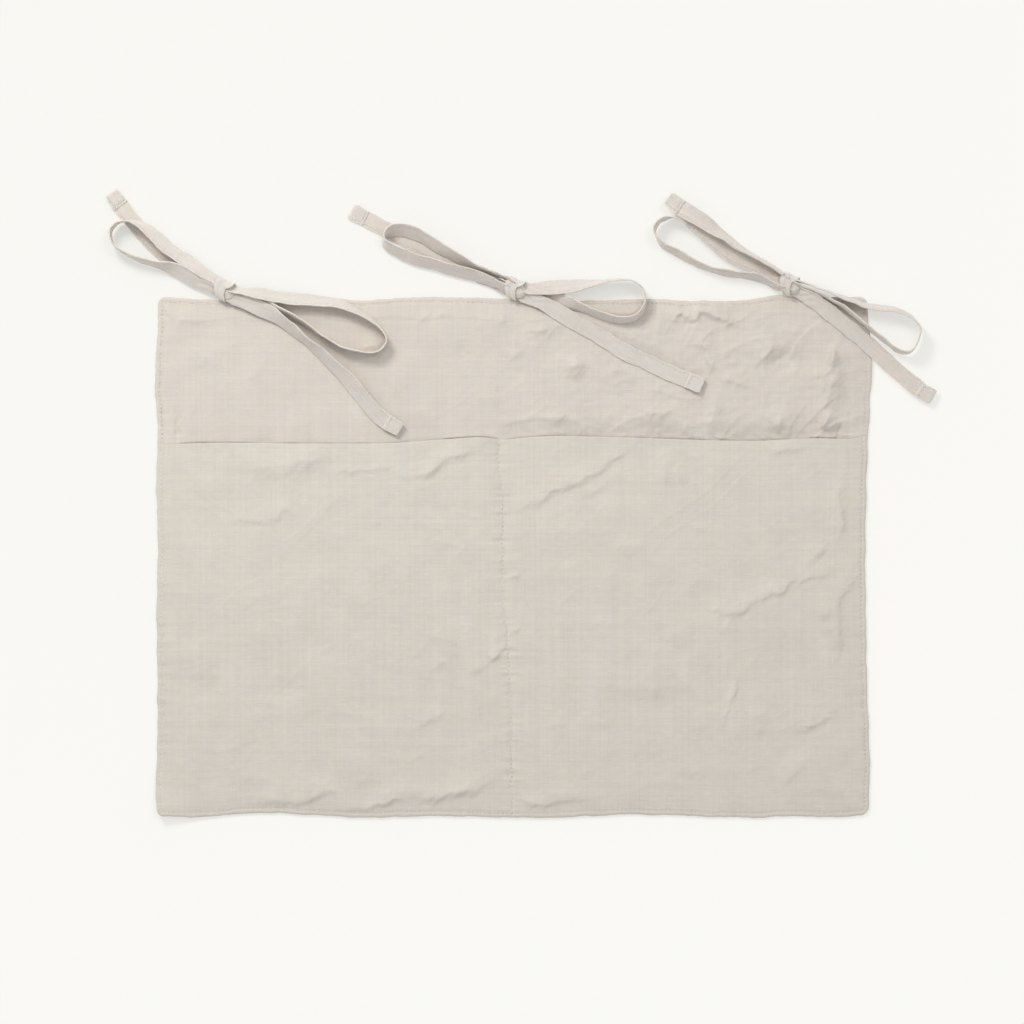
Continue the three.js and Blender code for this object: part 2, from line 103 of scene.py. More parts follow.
# Creases by kind: height, width and how much steeper the right-hand side is
CREASE_KINDS = {
    "strong": (2.2, 4.6, 0.5),
    "sharp": (1.3, 2.4, 0.5),
    "plain": (1.1, 4.4, 0.45),
    "soft": (1.9, 8.5, 0.25),
    "dip": (-1.8, 9.0, 0.0),
    "faint": (0.8, 5.0, 0.3),
    "turned": (-1.5, 1.4, 0.0),
}
HEADER_CREASES = [
    ("sharp", (-74.6, 177.5), (-64, 189.8)),
    ("sharp", (-57, 186), (-52, 189.5)),
    ("dip", (-50, 155), (-31, 157), (-12, 154)),
    ("plain", (-12.4, 182), (-3, 183)),
    ("plain", (-1.8, 151.5), (8.5, 162.4)),
    ("plain", (9.3, 174), (30.3, 176.4)),
    ("soft", (47.2, 136), (51, 158.5)),
    ("faint", (28, 106), (43.5, 108.8)),
    ("soft", (94, 108), (122.8, 113.4)),
    ("strong", (124.3, 181.4), (129.8, 188), (141.4, 185), (145, 189.8), (156.2, 187), (171.5, 180.4)),
    ("plain", (145, 172), (152.6, 153), (154.6, 141.8)),
    ("plain", (162, 139.9), (180.9, 132.4)),
    ("soft", (186.8, 149), (197.8, 158), (209, 163)),
    ("dip", (190, 147), (212, 152), (236, 149)),
    ("strong", (250.6, 166.3), (246, 147), (239.3, 126.7)),
    ("strong", (250.6, 141.8), (240.9, 115.4)),
    ("strong", (246.8, 113.4), (240.9, 98.7)),
    ("plain", (158.3, 126.7), (152.3, 98.7)),
    ("plain", (135.7, 104), (131.9, 94.8)),
    ("soft", (209, 117.3), (207.2, 94.8)),
    ("plain", (-261, 181.4), (-245, 183), (-232, 181.4)),
    ("sharp", (-272, 196), (-262, 183)),
    ("faint", (-208, 138.3), (-193, 143.7)),
    ("soft", (-246, 170), (-240, 142), (-248, 112)),
    ("soft", (-120, 168), (-96, 150), (-90, 126)),
    ("turned", (-259.4, 87), (-259.4, 101), (-259.2, 117)),
    ("turned", (253.4, 88), (253.3, 103)),
]
POCKET_CREASES = [
    ("soft", (-217.6, 70.2), (-168.6, 72.3), (-138.3, 79.6)),
    ("plain", (-147.6, 66.4), (-110.3, 68.4), (-91.3, 71.2)),
    ("strong", (-89.4, 63.7), (-66.8, 64.5), (-53.6, 74.9), (-38.9, 79.6), (-25.6, 85.5)),
    ("plain", (-223, 27.2), (-187.3, 29.8), (-178, 35.4), (-168.6, 40.1)),
    ("strong", (-5.6, 41.2), (3.9, 39.2), (24.6, 45.8), (31.9, 52.4), (52.8, 59), (73.5, 72.3), (88.6, 83.4),
     (96, 90)),
    ("plain", (51, 42), (58.3, 49.7), (80.8, 59)),
    ("soft", (118.7, 87), (118.7, 53.6)),
    ("plain", (128.2, 72.3), (129.8, 55.2)),
    ("plain", (194.1, 81.6), (228, 85.5)),
    ("strong", (254, 15.5), (256.2, 27.2), (252.5, 45.8), (254, 57)),
    ("plain", (233.6, -1.3), (243, 11.8)),
    ("plain", (148.9, 17.5), (150.7, 27.2)),
    ("soft", (79.3, 10), (107.2, 8)),
    ("strong", (152.3, -38.6), (165.5, -43.3), (175.2, -42.3), (186.5, -35.7), (199.7, -29.1), (211, -25.4),
     (216.6, -17.9), (228, -16), (244.8, -11.3), (246.8, -5.4)),
    ("plain", (226.9, -11.3), (233.6, 0), (243, 7.8)),
    ("plain", (173.3, -45), (165.5, -54.4), (164, -66), (165.5, -99.5)),
    ("sharp", (164, -129.8), (169.4, -112.7), (175.2, -94)),
    ("soft", (126.3, -49), (122.5, -69.6)),
    ("soft", (80.8, -101.8), (107.2, -103.3), (122.8, -99.5), (145.3, -97.9)),
    ("strong", (228, -132.7), (246.8, -122.4)),
    ("soft", (218.3, -137.5), (231.6, -120.4)),
    ("soft", (190.4, -143), (192, -115)),
    ("strong", (250.6, -79.1), (254, -69.6), (251.5, -43.3), (256.2, -26.4), (267.3, -14.8)),
    ("plain", (237.4, -49), (248.6, -39.6)),
    ("sharp", (3.8, -18), (4.4, -11)),
    ("sharp", (3.8, -60), (4.4, -53)),
    ("strong", (-17.9, -81.6), (-6.6, -69.6)),
    ("plain", (-16.3, -66), (-10.3, -60.2)),
    ("plain", (-35, -88.6), (-21.8, -85.5)),
    ("plain", (-65.3, -90.1), (-52, -79.3)),
    ("plain", (-74.6, -132.9), (-53.6, -118.9)),
    ("soft", (-115.8, -177.2), (-109.2, -150.7)),
    ("dip", (-270, -98.7), (-246, -101), (-223, -98.7)),
    ("dip", (-199, -101.4), (-157, -101.4)),
    ("faint", (-199, -113), (-186, -113)),
    ("faint", (-213.7, -171), (-195, -171)),
    ("faint", (26.4, -130), (45, -130)),
    ("faint", (52.8, -129), (80.8, -129)),
    ("plain", (207.2, -180.8), (218.3, -167.6), (231.5, -152.3)),
    ("faint", (126.3, -164), (152.3, -167.6)),
    ("strong", (-202.4, -191.1), (-185.7, -188.5), (-166.7, -190.4), (-157.2, -187.6), (-146, -181.8),
     (-132.9, -181)),
    ("strong", (-136.8, -194.3), (-111.9, -194.3), (-101, -190.4), (-81.9, -185.7), (-62.9, -187.3),
     (-44.3, -182.6), (-25.6, -179.1), (-10.3, -169.4)),
    ("strong", (5.4, -183.8), (13.8, -190), (25.6, -190.9), (42, -186.8), (60.6, -186.8)),
]
# Places where the mouth stands open a little: middle, half width and lift
MOUTH_GAPS = [(-243, 20, 0.4), (-31, 24, 1.0), (242, 13, 1.1)]
# Bottom corner that curls up off the floor: its place, reach and lift
CURLED_CORNER = (-275, -200, 24, 5.8)
# Fine wrinkles all over the cloth: height, spacing and direction in degrees from +X
WRINKLES = [(0.50, 36, 7), (0.48, 28, 36), (0.50, 30, 96), (0.32, 20, -24), (0.20, 12, 88), (0.19, 11, 2)]

# Each tie, as in the part: a half leaves the knot along its heading, in degrees from +X. Ends are
# [side, low, roll] and points are [x, y, low, roll] from the knot's middle.
TIES = {
    "left": {
        "outer": {
            "heading": 150,
            "start": [-3.7, 1.6, 34],
            "points": [
                [-18.8, 15.6, 3.2, 36], [-31.2, 24.2, 2.2, 34], [-43, 32.5, 1.9, 34], [-55, 43, 1.9, 42],
                [-66.5, 51.5, 2.2, 62], [-76.5, 55, 2.6, 82], [-85, 51.5, 3.2, 92], [-89, 44.5, 3.4, 95],
                [-86.5, 35.5, 3, 88], [-76.5, 28.5, 2.4, 80], [-65, 23.8, 2, 76], [-52.3, 20.2, 1.9, 66],
                [-39.5, 17, 2, 40], [-22.5, 8, 3.2, 30]],
            "end": [3.7, 1.6, 30],
            "tail_start": [0, 0, 0],
            "tail": [
                [-28.5, 17, 0.8, 0], [-50.5, 31, 0.3, 0], [-68, 49.5, 0.3, 0], [-83, 67.5, 0.3, 0],
                [-88.5, 76.5, 0.3, 0]],
        },
        "inner": {
            "heading": -22,
            "start": [-0.6, 0, 5],
            "points": [
                [24.5, -8.6, 0, 12], [37.2, -14, 0, 50], [49, -19, 0, 68], [61, -25, 0, 78],
                [75, -35, 0, 86], [90.5, -43.5, 0, 90], [105, -47, 0, 92], [117.5, -46.5, 0, 94],
                [124, -39, 0.2, 96], [121.5, -30.5, 0.4, 88], [113, -22, 0.4, 76], [100.5, -15, 0.4, 68],
                [86.5, -9.5, 0.5, 58], [71, -7.5, 0.6, 44], [54, -6.1, 0.8, 38], [37.5, -3.8, 1.2, 42],
                [22, -1, 1.6, 42]],
            "end": [4.4, 1.6, 50],
            "tail_start": [-3.2, 2.8, 10],
            "tail": [
                [18, -9.6, 2.6, 10], [28, -14, 2.2, 20], [39, -19.4, 1.6, 38], [47.5, -26, 0.8, 52],
                [61.5, -38, 0.2, 62], [75.5, -50, 0, 52], [94.5, -68.5, 0, 32], [109.5, -87.5, 0, 22],
                [120, -98, 0.4, 10], [134, -107, 1.6, 5]],
        },
    },
    "middle": {
        "outer": {
            "heading": 154,
            "start": [-4.6, 1.6, 105],
            "points": [
                [-16.5, 12, 3, 105], [-30, 17, 2.2, 108], [-42.5, 23.5, 1.9, 118], [-59.5, 32.5, 1.9, 130],
                [-75, 42, 1.9, 135], [-88, 46.5, 1.9, 138], [-97.5, 46, 1.9, 124], [-102.5, 41, 1.9, 90],
                [-100.5, 34.5, 1.9, 62], [-92, 29.5, 1.9, 50], [-79.5, 24, 1.9, 48], [-65.5, 20, 1.9, 50],
                [-51.5, 16, 1.9, 52], [-36, 12.5, 2, 50], [-20.5, 7, 3, 46]],
            "end": [2.6, 1.6, 50],
            "tail_start": [2.5, 0, 0],
            "tail": [
                [-22, 8.5, 1.2, 0], [-36, 16.5, 0.5, 0], [-58, 27, 0.3, 0], [-81, 37, 0.3, 0],
                [-107.5, 50.5, 0.3, 0], [-127.5, 61, 0.3, 0]],
        },
        "inner": {
            "heading": -20,
            "start": [-1.2, 0, 0],
            "points": [
                [22, -5, 0, 3], [30.5, -6.8, 0, 14], [43, -11.2, 0, 52], [57, -16.5, 0, 68],
                [69.5, -21, 0, 68], [80.5, -23, 0, 68], [90.5, -22, 0, 72], [97.5, -16, 0.2, 78],
                [100, -7.5, 0.4, 84], [97, 1.5, 0.4, 86], [89.5, 7, 0.4, 84], [79.5, 8, 0.4, 82],
                [69, 6.5, 0.5, 76], [57, 4.7, 0.8, 60], [41.5, 2.9, 2.4, 36], [27.5, 1.8, 3.6, 18]],
            "end": [4.6, 3, 15],
            "tail_start": [-3, 1.9, 8],
            "tail": [
                [18.5, -9.5, 2.6, 6], [30.5, -16, 2.4, 4], [48.5, -26.5, 1.2, 0], [67.5, -37.5, 0.2, 0],
                [87, -49.5, 0, 0], [106, -58, 0.2, 0], [125.5, -67, 1.4, 0], [143, -74.5, 3.8, -4]],
        },
    },
    "right": {
        "outer": {
            "heading": 154,
            "start": [-0.4, 0.2, 20],
            "points": [
                [-15.5, 8.5, 1.5, 18], [-27, 14.5, 1, 18], [-48, 25, 0.6, 20], [-64, 38.5, 0.4, 24],
                [-76, 48.5, 0.4, 32], [-84.5, 52, 1, 60], [-95, 52.5, 2, 98], [-102, 49.5, 2.5, 104],
                [-105.5, 43, 2.5, 100], [-104, 37, 2.2, 88], [-98.5, 31, 1.8, 74], [-88, 25, 1.2, 66],
                [-75.5, 18, 1.2, 74], [-61, 12.5, 1.2, 74], [-43, 8.5, 1.2, 70], [-25.5, 6, 1.6, 66]],
            "end": [5.8, 1, 68],
            "tail_start": [-5.8, 0.6, 75],
            "tail": [
                [-23.5, 20, 3, 74], [-36, 27, 2.5, 72], [-47, 35, 2.5, 62], [-57.5, 41.5, 4, 40],
                [-65.5, 47.5, 7.5, 20], [-75.5, 54, 9.5, 8], [-85.5, 60, 9, 0], [-94.5, 67, 7.5, 0]],
        },
        "inner": {
            "heading": -26,
            "start": [3.4, 0.2, 88],
            "points": [
                [19, -4.5, 0.2, 88], [29.5, -10.5, 0, 86], [41, -17.5, 0, 84], [52, -26, 0, 84],
                [62.5, -34.5, 0, 84], [71, -42, 0, 84], [80.5, -49.5, 0, 84], [87.5, -52, 0.2, 84],
                [93, -50.5, 0.4, 84], [98, -44.5, 0.4, 84], [100, -37.5, 0.4, 82], [99, -31.5, 0.4, 80],
                [93, -24.5, 0.4, 76], [82.5, -19.5, 0.4, 72], [71, -17.5, 0.4, 68], [59, -16, 0.4, 66],
                [45, -11.5, 0.8, 72], [31, -6, 1.2, 80]],
            "end": [6.4, 1.2, 84],
            "tail_start": [-2.6, 0.8, 20],
            "tail": [
                [20, -13.5, 0.8, 18], [33, -23, 0.6, 12], [56, -42, 0.3, 6], [73, -57.5, 0.2, 4],
                [85, -68, 0, 0], [100.5, -80.5, 0.3, 0], [110, -86, 1.0, 0]],
        },
    },
}
# The height that each half's own heights count from: the floor, or just over the panel
HALF_BASE = {"outer": 0.0, "inner": 2.6}
KNOT_LOW = 2.6
# The tape's turn round a knot: angle round the bow's axis from the lower side over the top, and the places of
# its inner and outer edge along the axis
WRAP_OUTLINE = [(-95, 3.5, -4.5), (-30, 3.2, -3.6), (20, 2.2, -4.2), (60, 0.3, -7.5), (110, 0.2, -10.5),
                (160, 4.2, -9.5), (205, 4.6, -6.5), (275, 3.5, -4.5)]
# The knot between its two faces, and the gap from a face to where its tapes begin
KNOT_LENGTH = 19.0
FACE_GAP = 0.5
# The gathered bundle inside a knot: half its length and half its width
BUNDLE_REACH = 7.5
BUNDLE_RADIUS = 6.0
# A tape at a knot: the share of its width that it gathers to, and how far out it takes to spread again
TAPE_GATHER = 0.72
GATHER_LENGTH = 22.0
# Tape thickness that the routes leave room for
ROUTE_THICKNESS = 1.2
# Place of a tape's lengthwise seam, from -1 to 1 across it, and of the row of stitches inside its hem
TAPE_SEAM = 0.70
HEM_ROW = 1.8
# Thickness that a layer of cloth shows, as a share of its setting
LAYER_SHARE = 0.85
# How far stitches stand out of their groove, as a share of the thread's diameter
STITCH_LIFT = 0.22
# Distances of the first grid lines beside an edge that turns down
FINE_LINES = [0, 0.2, 0.45, 0.8, 1.3, 1.9, 2.5, 3.0, 3.5, 4.0, 4.6, 5.4, 6.3]
# Colour and size in metres of each lamp
LAMPS = {"key": ((1.0, 0.98, 0.95), 0.45), "side": ((1.0, 0.985, 0.96), 0.8)}


def length_property(label, text, millimetres):
    return bpy.props.FloatProperty(name=label, description=text, default=millimetres * MM, unit="LENGTH")


def factor_property(label, text, default):
    return bpy.props.FloatProperty(name=label, description=text, default=default, subtype="FACTOR")


def power_property(label, text, watts):
    return bpy.props.FloatProperty(name=label, description=text, default=watts, unit="POWER")


def color_property(label, text, default):
    return bpy.props.FloatVectorProperty(name=label, description=text, default=default, subtype="COLOR")


def place_property(label, text, metres):
    return bpy.props.FloatVectorProperty(name=label, description=text, default=metres, subtype="TRANSLATION")


class CaddyClothSettings(bpy.types.PropertyGroup):
    """Sizes and colours of the panel and the pockets"""

    thickness: length_property("Cloth thickness", "Thickness of one layer of linen", 1.0)
    corner_radius: length_property("Corner radius", "Radius of the panel's corners", 5.0)
    allowance: length_property("Seam allowance", "Width of the turned cloth inside the edges", 16.0)
    allowance_rise: length_property("Allowance rise", "How far the turned cloth lifts the surface", 0.45)
    pocket_puff: length_property("Pocket puff", "How far the pocket cloth stands over its seams", 1.7)
    grid: length_property("Grid", "Distance between the cloth's grid lines", 1.05)
    body_color: color_property("Panel linen", "Colour of the panel", (0.655, 0.599, 0.539))
    pocket_color: color_property("Pocket linen", "Colour of the pocket cloth", (0.655, 0.607, 0.542))


class CaddyTapeSettings(bpy.types.PropertyGroup):
    """Sizes and colour of the tapes and their knots"""

    width: length_property("Tape width", "Width of the folded tape", 12.5)
    thickness: length_property("Tape thickness", "Thickness of the folded tape", 1.15)
    hem: length_property("Hem", "Length folded under at a tape's end", 11.0)
    color: color_property("Tape linen", "Colour of the tapes", (0.680, 0.633, 0.585))


class CaddyStitchSettings(bpy.types.PropertyGroup):
    """Sizes and colour of the sewing"""

    pitch: length_property("Stitch pitch", "Length of one stitch", 3.4)
    inset: length_property("Stitch inset", "Distance of the topstitching from the edge", 3.5)
    thread: length_property("Thread", "Diameter of the sewing thread", 0.5)
    color: color_property("Thread colour", "Colour of the thread", (0.780, 0.725, 0.655))


class CaddyStageSettings(bpy.types.PropertyGroup):
    """Floor, lamps and camera"""

    view_width: length_property("View width", "Width of the floor that the picture shows", 795.4)
    view_centre_y: length_property("View middle", "Y of the picture's middle on the floor", 35.0)
    camera_height: length_property("Camera height", "Height of the camera over the floor", 2400.0)
    floor_color: color_property("Floor colour", "Colour of the pale floor", (0.947, 0.939, 0.905))
    floor_share: factor_property("Lit share", "Share of its colour that the floor reflects", 0.52)
    floor_level: factor_property(
        "Floor level", "Brightness of the open floor, as a share of its colour", 1.013)
    room_color: color_property("Room colour", "Colour of the light from all round", (0.975, 0.99, 1.0))
    room_light: factor_property("Room light", "Strength of the light from all round", 0.665)
    key_place: place_property("Key lamp", "Place of the near lamp", (-0.65, 1.03, 1.14))
    key_power: power_property("Key power", "Power of the near lamp", 11.4)
    side_place: place_property("Side lamp", "Place of the far lamp", (0.9, 0.9, 2.2))
    side_power: power_property("Side power", "Power of the far lamp", 7.1)


def cloth():
    return bpy.context.scene.caddy_cloth


def tape():
    return bpy.context.scene.caddy_tape


def stitch():
    return bpy.context.scene.caddy_stitch


def ease(value, low, high):
    """0 up to low, 1 from high, and smooth between them."""
    t = np.clip((value - low) / (high - low), 0, 1)
    return t * t * (3 - 2 * t)


def bell(away, width):
    """1 at 0, and fading to both sides over about a width."""
    return np.exp(-((away / width) ** 2))


def unit_rows(rows):
    return rows / np.linalg.norm(rows, axis=-1)[..., None]


def run_length(path):
    """Distance travelled along a path, at each of its points."""
    return np.concatenate([[0], np.cumsum(np.linalg.norm(np.diff(path, axis=0), axis=1))])


def turned(degrees):
    """Level directions: turned from +X, and to the left of that."""
    angle = math.radians(degrees)
    return np.array([math.cos(angle), math.sin(angle), 0]), np.array([-math.sin(angle), math.cos(angle), 0])


def along_line(points, at):
    """A smooth line through (place, value) points in millimetres, read at places in metres."""
    places = np.array([p[0] for p in points]) * MM
    values = np.array([p[1] for p in points]) * MM
    slopes = np.gradient(values, places)
    i = np.clip(np.searchsorted(places, at) - 1, 0, len(places) - 2)
    span = places[i + 1] - places[i]
    t = np.clip((at - places[i]) / span, 0, 1)
    a = (2 * t**3 - 3 * t**2 + 1) * values[i] + (3 * t**2 - 2 * t**3) * values[i + 1]
    return a + ((t**3 - 2 * t**2 + t) * slopes[i] + (t**3 - t**2) * slopes[i + 1]) * span


def waves(x, y, wavelength, seed, count=12):
    """Smooth seeded noise about 0 with a spread near 1: plane waves of about one wavelength."""
    rng = np.random.default_rng(seed)
    total = np.zeros(np.broadcast(x, y).shape)
    for angle, scale, phase in rng.uniform((0, 0.7, 0), (math.tau, 1.5, math.tau), (count, 3)):
        turns = (x * math.cos(angle) + y * math.sin(angle)) / (wavelength * scale)
        total = total + np.sin(turns * math.tau + phase)
    return total * math.sqrt(2 / count)


def waves_along(x, wavelength, seed, count):
    return waves(x, x * 0, wavelength, seed, count)


def wrinkles(x, y, wavelength, degrees, seed):
    """Thin leaning ridges in patches, nearly straight along one direction, between 0 and 1."""
    turn = math.radians(degrees)
    u = x * math.cos(turn) + y * math.sin(turn)
    v = y * math.cos(turn) - x * math.sin(turn)
    bent = v + 0.17 * wavelength * waves(x, y, 2.4 * wavelength, seed + 1, 6)
    level = waves_along(bent, wavelength, seed, 10)
    patch = ease(waves(u / 1.7, v, 1.5 * wavelength, seed + 2, 8), 0.0, 1.6)
    return patch * np.where(level > 0, np.exp(-level / 0.8), np.exp(level / 0.25))


def curve_points(points, steps):
    """A Catmull-Rom curve through the rows of points, with steps between each two."""
    p = np.array(points, float)
    padded = np.vstack([2 * p[0] - p[1], p, 2 * p[-1] - p[-2]])
    spots = np.linspace(0, len(p) - 1, (len(p) - 1) * steps + 1)
    i = np.minimum(spots.astype(int), len(p) - 2)
    t = (spots - i)[:, None]
    a, b, c, d = (padded[i + k] for k in range(4))
    return b + t * (c - a) / 2 + t**2 * (2 * a - 5 * b + 4 * c - d) / 2 + t**3 * (3 * b - a - 3 * c + d) / 2


def crease(x, y, crisp, kind, points):
    """Height of one listed crease, which fades at both ends; crisp is the share of its sharp ridge."""
    height, width, lean = CREASE_KINDS[kind]
    height, width = height * MM, width * MM
    path = curve_points(points, 4) * MM if len(points) > 2 else np.array(points, float) * MM
    reach = 5 * width
    low, high = path.min(0) - reach, path.max(0) + reach
    near = (x > low[0]) & (x < high[0]) & (y > low[1]) & (y < high[1])
    out = np.zeros(x.shape)
    if not near.any():
        return out
    px, py = x[near], y[near]
    best = np.full(px.shape, 1e9)
    side = np.zeros(px.shape)
    place = np.zeros(px.shape)
    travelled = 0.0
    for a, b in zip(path[:-1], path[1:]):
        d = b - a
        length = math.hypot(*d)
        t = np.clip(((px - a[0]) * d[0] + (py - a[1]) * d[1]) / length**2, 0, 1)
        dx, dy = px - a[0] - t * d[0], py - a[1] - t * d[1]
        distance = np.hypot(dx, dy)
        closer = distance < best
        best = np.where(closer, distance, best)
        side = np.where(closer, np.sign(d[0] * dy - d[1] * dx), side)
        place = np.where(closer, travelled + t * length, place)
        travelled += length
    tip = max(0.3 * travelled, 1.5 * width)
    fading = ease(place, -0.3 * tip, tip) * ease(travelled - place, -0.3 * tip, tip)
    away = best / (width * (1 + lean * side))
    bite = 0.35 + 0.65 * ease(waves_along(place, 18 * MM, int(1e5 * travelled), 6), -0.9, 0.7)
    sharp = 0.7 * crisp * bite * np.exp(-2.2 * (np.hypot(away, 0.1) - 0.1))
    out[near] = height * fading * ((1 - 0.5 * crisp) * np.exp(-0.6 * away * away) + sharp)
    return out


def creases(x, y, kinds, crisp):
    """All the creases of a list, with their lines and heights made uneven."""

    def astray(place, seed):
        place = place + 0.5 * MM * waves(x, y, 12 * MM, seed, 8)
        return place + 0.22 * MM * waves(x, y, 4.5 * MM, seed + 2, 8)

    rough_x, rough_y = astray(x, 501), astray(y, 502)
    uneven = 1 + 0.20 * waves(x, y, 32 * MM, 505, 8)
    found = (crease(rough_x, rough_y, crisp, row[0], row[1:]) for row in kinds)
    return uneven * sum(found, np.zeros(x.shape))


def side_distance(s):
    """Distance inside the nearer side edge, on the flat cloth."""
    return np.minimum(s - PANEL_LOW.x, PANEL_HIGH.x - s)


def end_distance(t):
    """Distance inside the top or bottom edge, on the flat cloth."""
    return np.minimum(t - PANEL_LOW.y, PANEL_HIGH.y - t)


def edge_distance(s, t):
    return np.minimum(side_distance(s), end_distance(t))


def laid_out(s, t):
    """Where a point of the flat cloth lies: corners rounded and edges wandering as the linen does."""
    r = cloth().corner_radius
    x, y = s.copy(), t.copy()
    u = np.clip((np.abs(s) - (PANEL_HIGH.x - r)) / r, 0, 1)
    v = np.clip((np.abs(t) - (PANEL_HIGH.y - r)) / r, 0, 1)
    corner = (u > 0) & (v > 0)
    x = np.where(corner, np.sign(s) * (PANEL_HIGH.x - r + r * u * np.sqrt(1 - v * v / 2)), x)
    y = np.where(corner, np.sign(t) * (PANEL_HIGH.y - r + r * v * np.sqrt(1 - u * u / 2)), y)
    inwards = 55 * MM
    left = 1 - ease(s - PANEL_LOW.x, 0, inwards)
    right = 1 - ease(PANEL_HIGH.x - s, 0, inwards)
    low = 1 - ease(t - PANEL_LOW.y, 0, inwards)
    high = 1 - ease(PANEL_HIGH.y - t, 0, inwards)
    x = x + left * (along_line(LEFT_EDGE, t) - PANEL_LOW.x)
    x = x + right * (along_line(RIGHT_EDGE, t) - PANEL_HIGH.x)
    y = y + low * (along_line(BOTTOM_EDGE, s) - PANEL_LOW.y)
    y = y + high * (along_line(TOP_EDGE, s) - PANEL_HIGH.y)
    wobble = 0.22 * MM * waves(s, t, 24 * MM, 5, 8) + 0.08 * MM * waves(s, t, 7 * MM, 6, 8)
    return x + wobble * (left + right), y + wobble * (low + high)


def seam_dent(distance, along, depth):
    """The groove that a line of stitching draws in the cloth, with a pit at each needle hole."""
    pits = 0.35 + 0.65 * (0.5 + 0.5 * np.cos(along / stitch().pitch * math.tau)) ** 2
    return -depth * pits * bell(distance, 0.85 * MM)


def pucker(distance, along, seed):
    """Small gathers that run away from a seam."""
    ripple = waves_along(along, 8.5 * MM, seed, 8) + 0.6 * waves_along(along, 4.2 * MM, seed + 1, 8)
    return ripple * np.exp(-np.abs(distance) / (5.5 * MM))


def edge_relief(s, t):
    """Topstitch groove, gathers and a slight roll of the edge, over a flat field."""
    d = edge_distance(s, t)
    along = np.where(side_distance(s) < end_distance(t), t, s)
    beside = d - stitch().inset
    roll = 0.10 * MM * bell(d - 2.1 * MM, 0.9 * MM)
    return roll + seam_dent(beside, along, 0.50 * MM) + 0.10 * MM * pucker(beside, along, 31)


def turned_cloth(s, t):
    """The step of the cloth turned in at the header's edges, which shows through."""
    d = edge_distance(s, t)
    band = cloth().allowance + 1.0 * MM * waves(s, t, 60 * MM, 8, 6)
    return cloth().allowance_rise * (1 - ease(d, band - 0.9 * MM, band + 0.5 * MM))


def rounding(distance, radius, drop):
    """How far a cloth's surface turns down at its edge."""
    inside = np.clip(1 - distance / radius, 0, 1)
    return -drop * (1 - np.sqrt(np.maximum(1 - inside * inside, 0)))


def soft_lie(s, t, seed, rough=1.0):
    """The unevenness of washed linen lying flat: broad and easy, with patches of fine wrinkles."""
    broad = 0.34 * waves(s, t, 80 * MM, seed) + 0.16 * waves(s, t, 36 * MM, seed + 1)
    lines = 0.05 * waves(s, t, 8 * MM, seed + 2)
    for number, (height, wavelength, degrees) in enumerate(WRINKLES):
        lines = lines + height * wrinkles(s, t, wavelength * MM, degrees, seed + 10 * number + 10)
    return (broad + rough * lines) * MM


def corner_curl(s, t):
    """The bottom corner that curls up, in every layer alike."""
    x, y, reach, lift = (v * MM for v in CURLED_CORNER)
    return lift * bell(np.hypot(s - x, t - y), reach)


def header_top(s, t):
    """The front panel's outer surface."""
    x, y = laid_out(s, t)
    d = edge_distance(s, t)
    field = ease(d, 0, 22 * MM)
    shown = ease(t, MOUTH_Y - 14 * MM, MOUTH_Y - 4 * MM)
    z = FRONT_TOP + shown * (edge_relief(s, t) + turned_cloth(s, t))
    rightward = ease(s, -0.10, 0.12)
    past = np.maximum(y - along_line(MOUTH_LINE, s), 0)
    lift = (0.5 + 2.1 * rightward) * MM * field * ease(past, 0, 16 * MM)
    z = z + shown * (soft_lie(s, t, 40, 0.22 + 1.75 * rightward) * (0.3 + 0.7 * field) + lift)
    z = z + shown * (0.65 + 1.6 * rightward) * creases(x, y, HEADER_CREASES, 0.85)
    ridge = 0.42 * MM * (0.7 + 0.3 * waves_along(s, 30 * MM, 93, 8))
    for middle, half, lift in MOUTH_GAPS:
        ridge = ridge + 0.6 * lift * MM * (1 - ease(np.abs(s - middle * MM), 0.75 * half * MM, half * MM))
    z = z + ridge * np.exp(-past / (6 * MM)) * (1 - bell(past, 0.75 * MM))
    for low, high in KNOT_BOXES.values():
        middle = (low + high) / 2
        across, up = (x - middle.x) / (14 * MM), (y - PANEL_HIGH.y) / (12 * MM)
        z = z - 0.35 * MM * np.exp(-(across**2) - up**2)
    z = np.minimum(np.maximum(z, FRONT_TOP - 0.35 * MM), under_tapes(x, y))
    return x, y, z + rounding(d, 2.3 * MM, 1.0 * MM) + corner_curl(s, t)


@functools.lru_cache
def tapes_on_panel():
    """Places of the tapes that lie on the panel: x, y, lowest z and half of the width that they cover."""
    rows = []
    for name in TIES:
        for stations in half_stations(name, "inner", 3):
            cover = stations["width"] / 2 * np.hypot(*stations["across"][:, :2].T) + 0.6 * MM
            rows.append(np.column_stack([stations["at"][:, :2], stations["low"], cover]))
    return np.vstack(rows)


def under_tapes(x, y):
    """The highest level that leaves room for the tapes lying on the panel."""
    level = np.full(np.shape(x), 1.0)
    for tape_x, tape_y, low, cover in tapes_on_panel():
        near = (np.abs(x - tape_x) < 12 * MM) & (np.abs(y - tape_y) < 12 * MM)
        away = np.hypot(x[near] - tape_x, y[near] - tape_y) - cover
        level[near] = np.minimum(level[near], low - 0.2 * MM + 0.4 * np.maximum(away, 0))
    return level


def back_under(s, t):
    """The back panel's outer surface, which lies on the floor."""
    x, y = laid_out(s, t)
    d = edge_distance(s, t)
    lie = np.abs(soft_lie(s, t, 60)) * 0.35 * ease(d, 4 * MM, 30 * MM)
    z = 0.12 * MM + lie - np.minimum(edge_relief(s, t), 0) * 0.5
    return x, y, np.minimum(z, 0.7 * MM) - rounding(d, 1.3 * MM, 0.8 * MM) + corner_curl(s, t)


def divider_x(t):
    return along_line(DIVIDER_LINE, t) + 0.3 * MM * waves_along(t, 11 * MM, 77, 6)


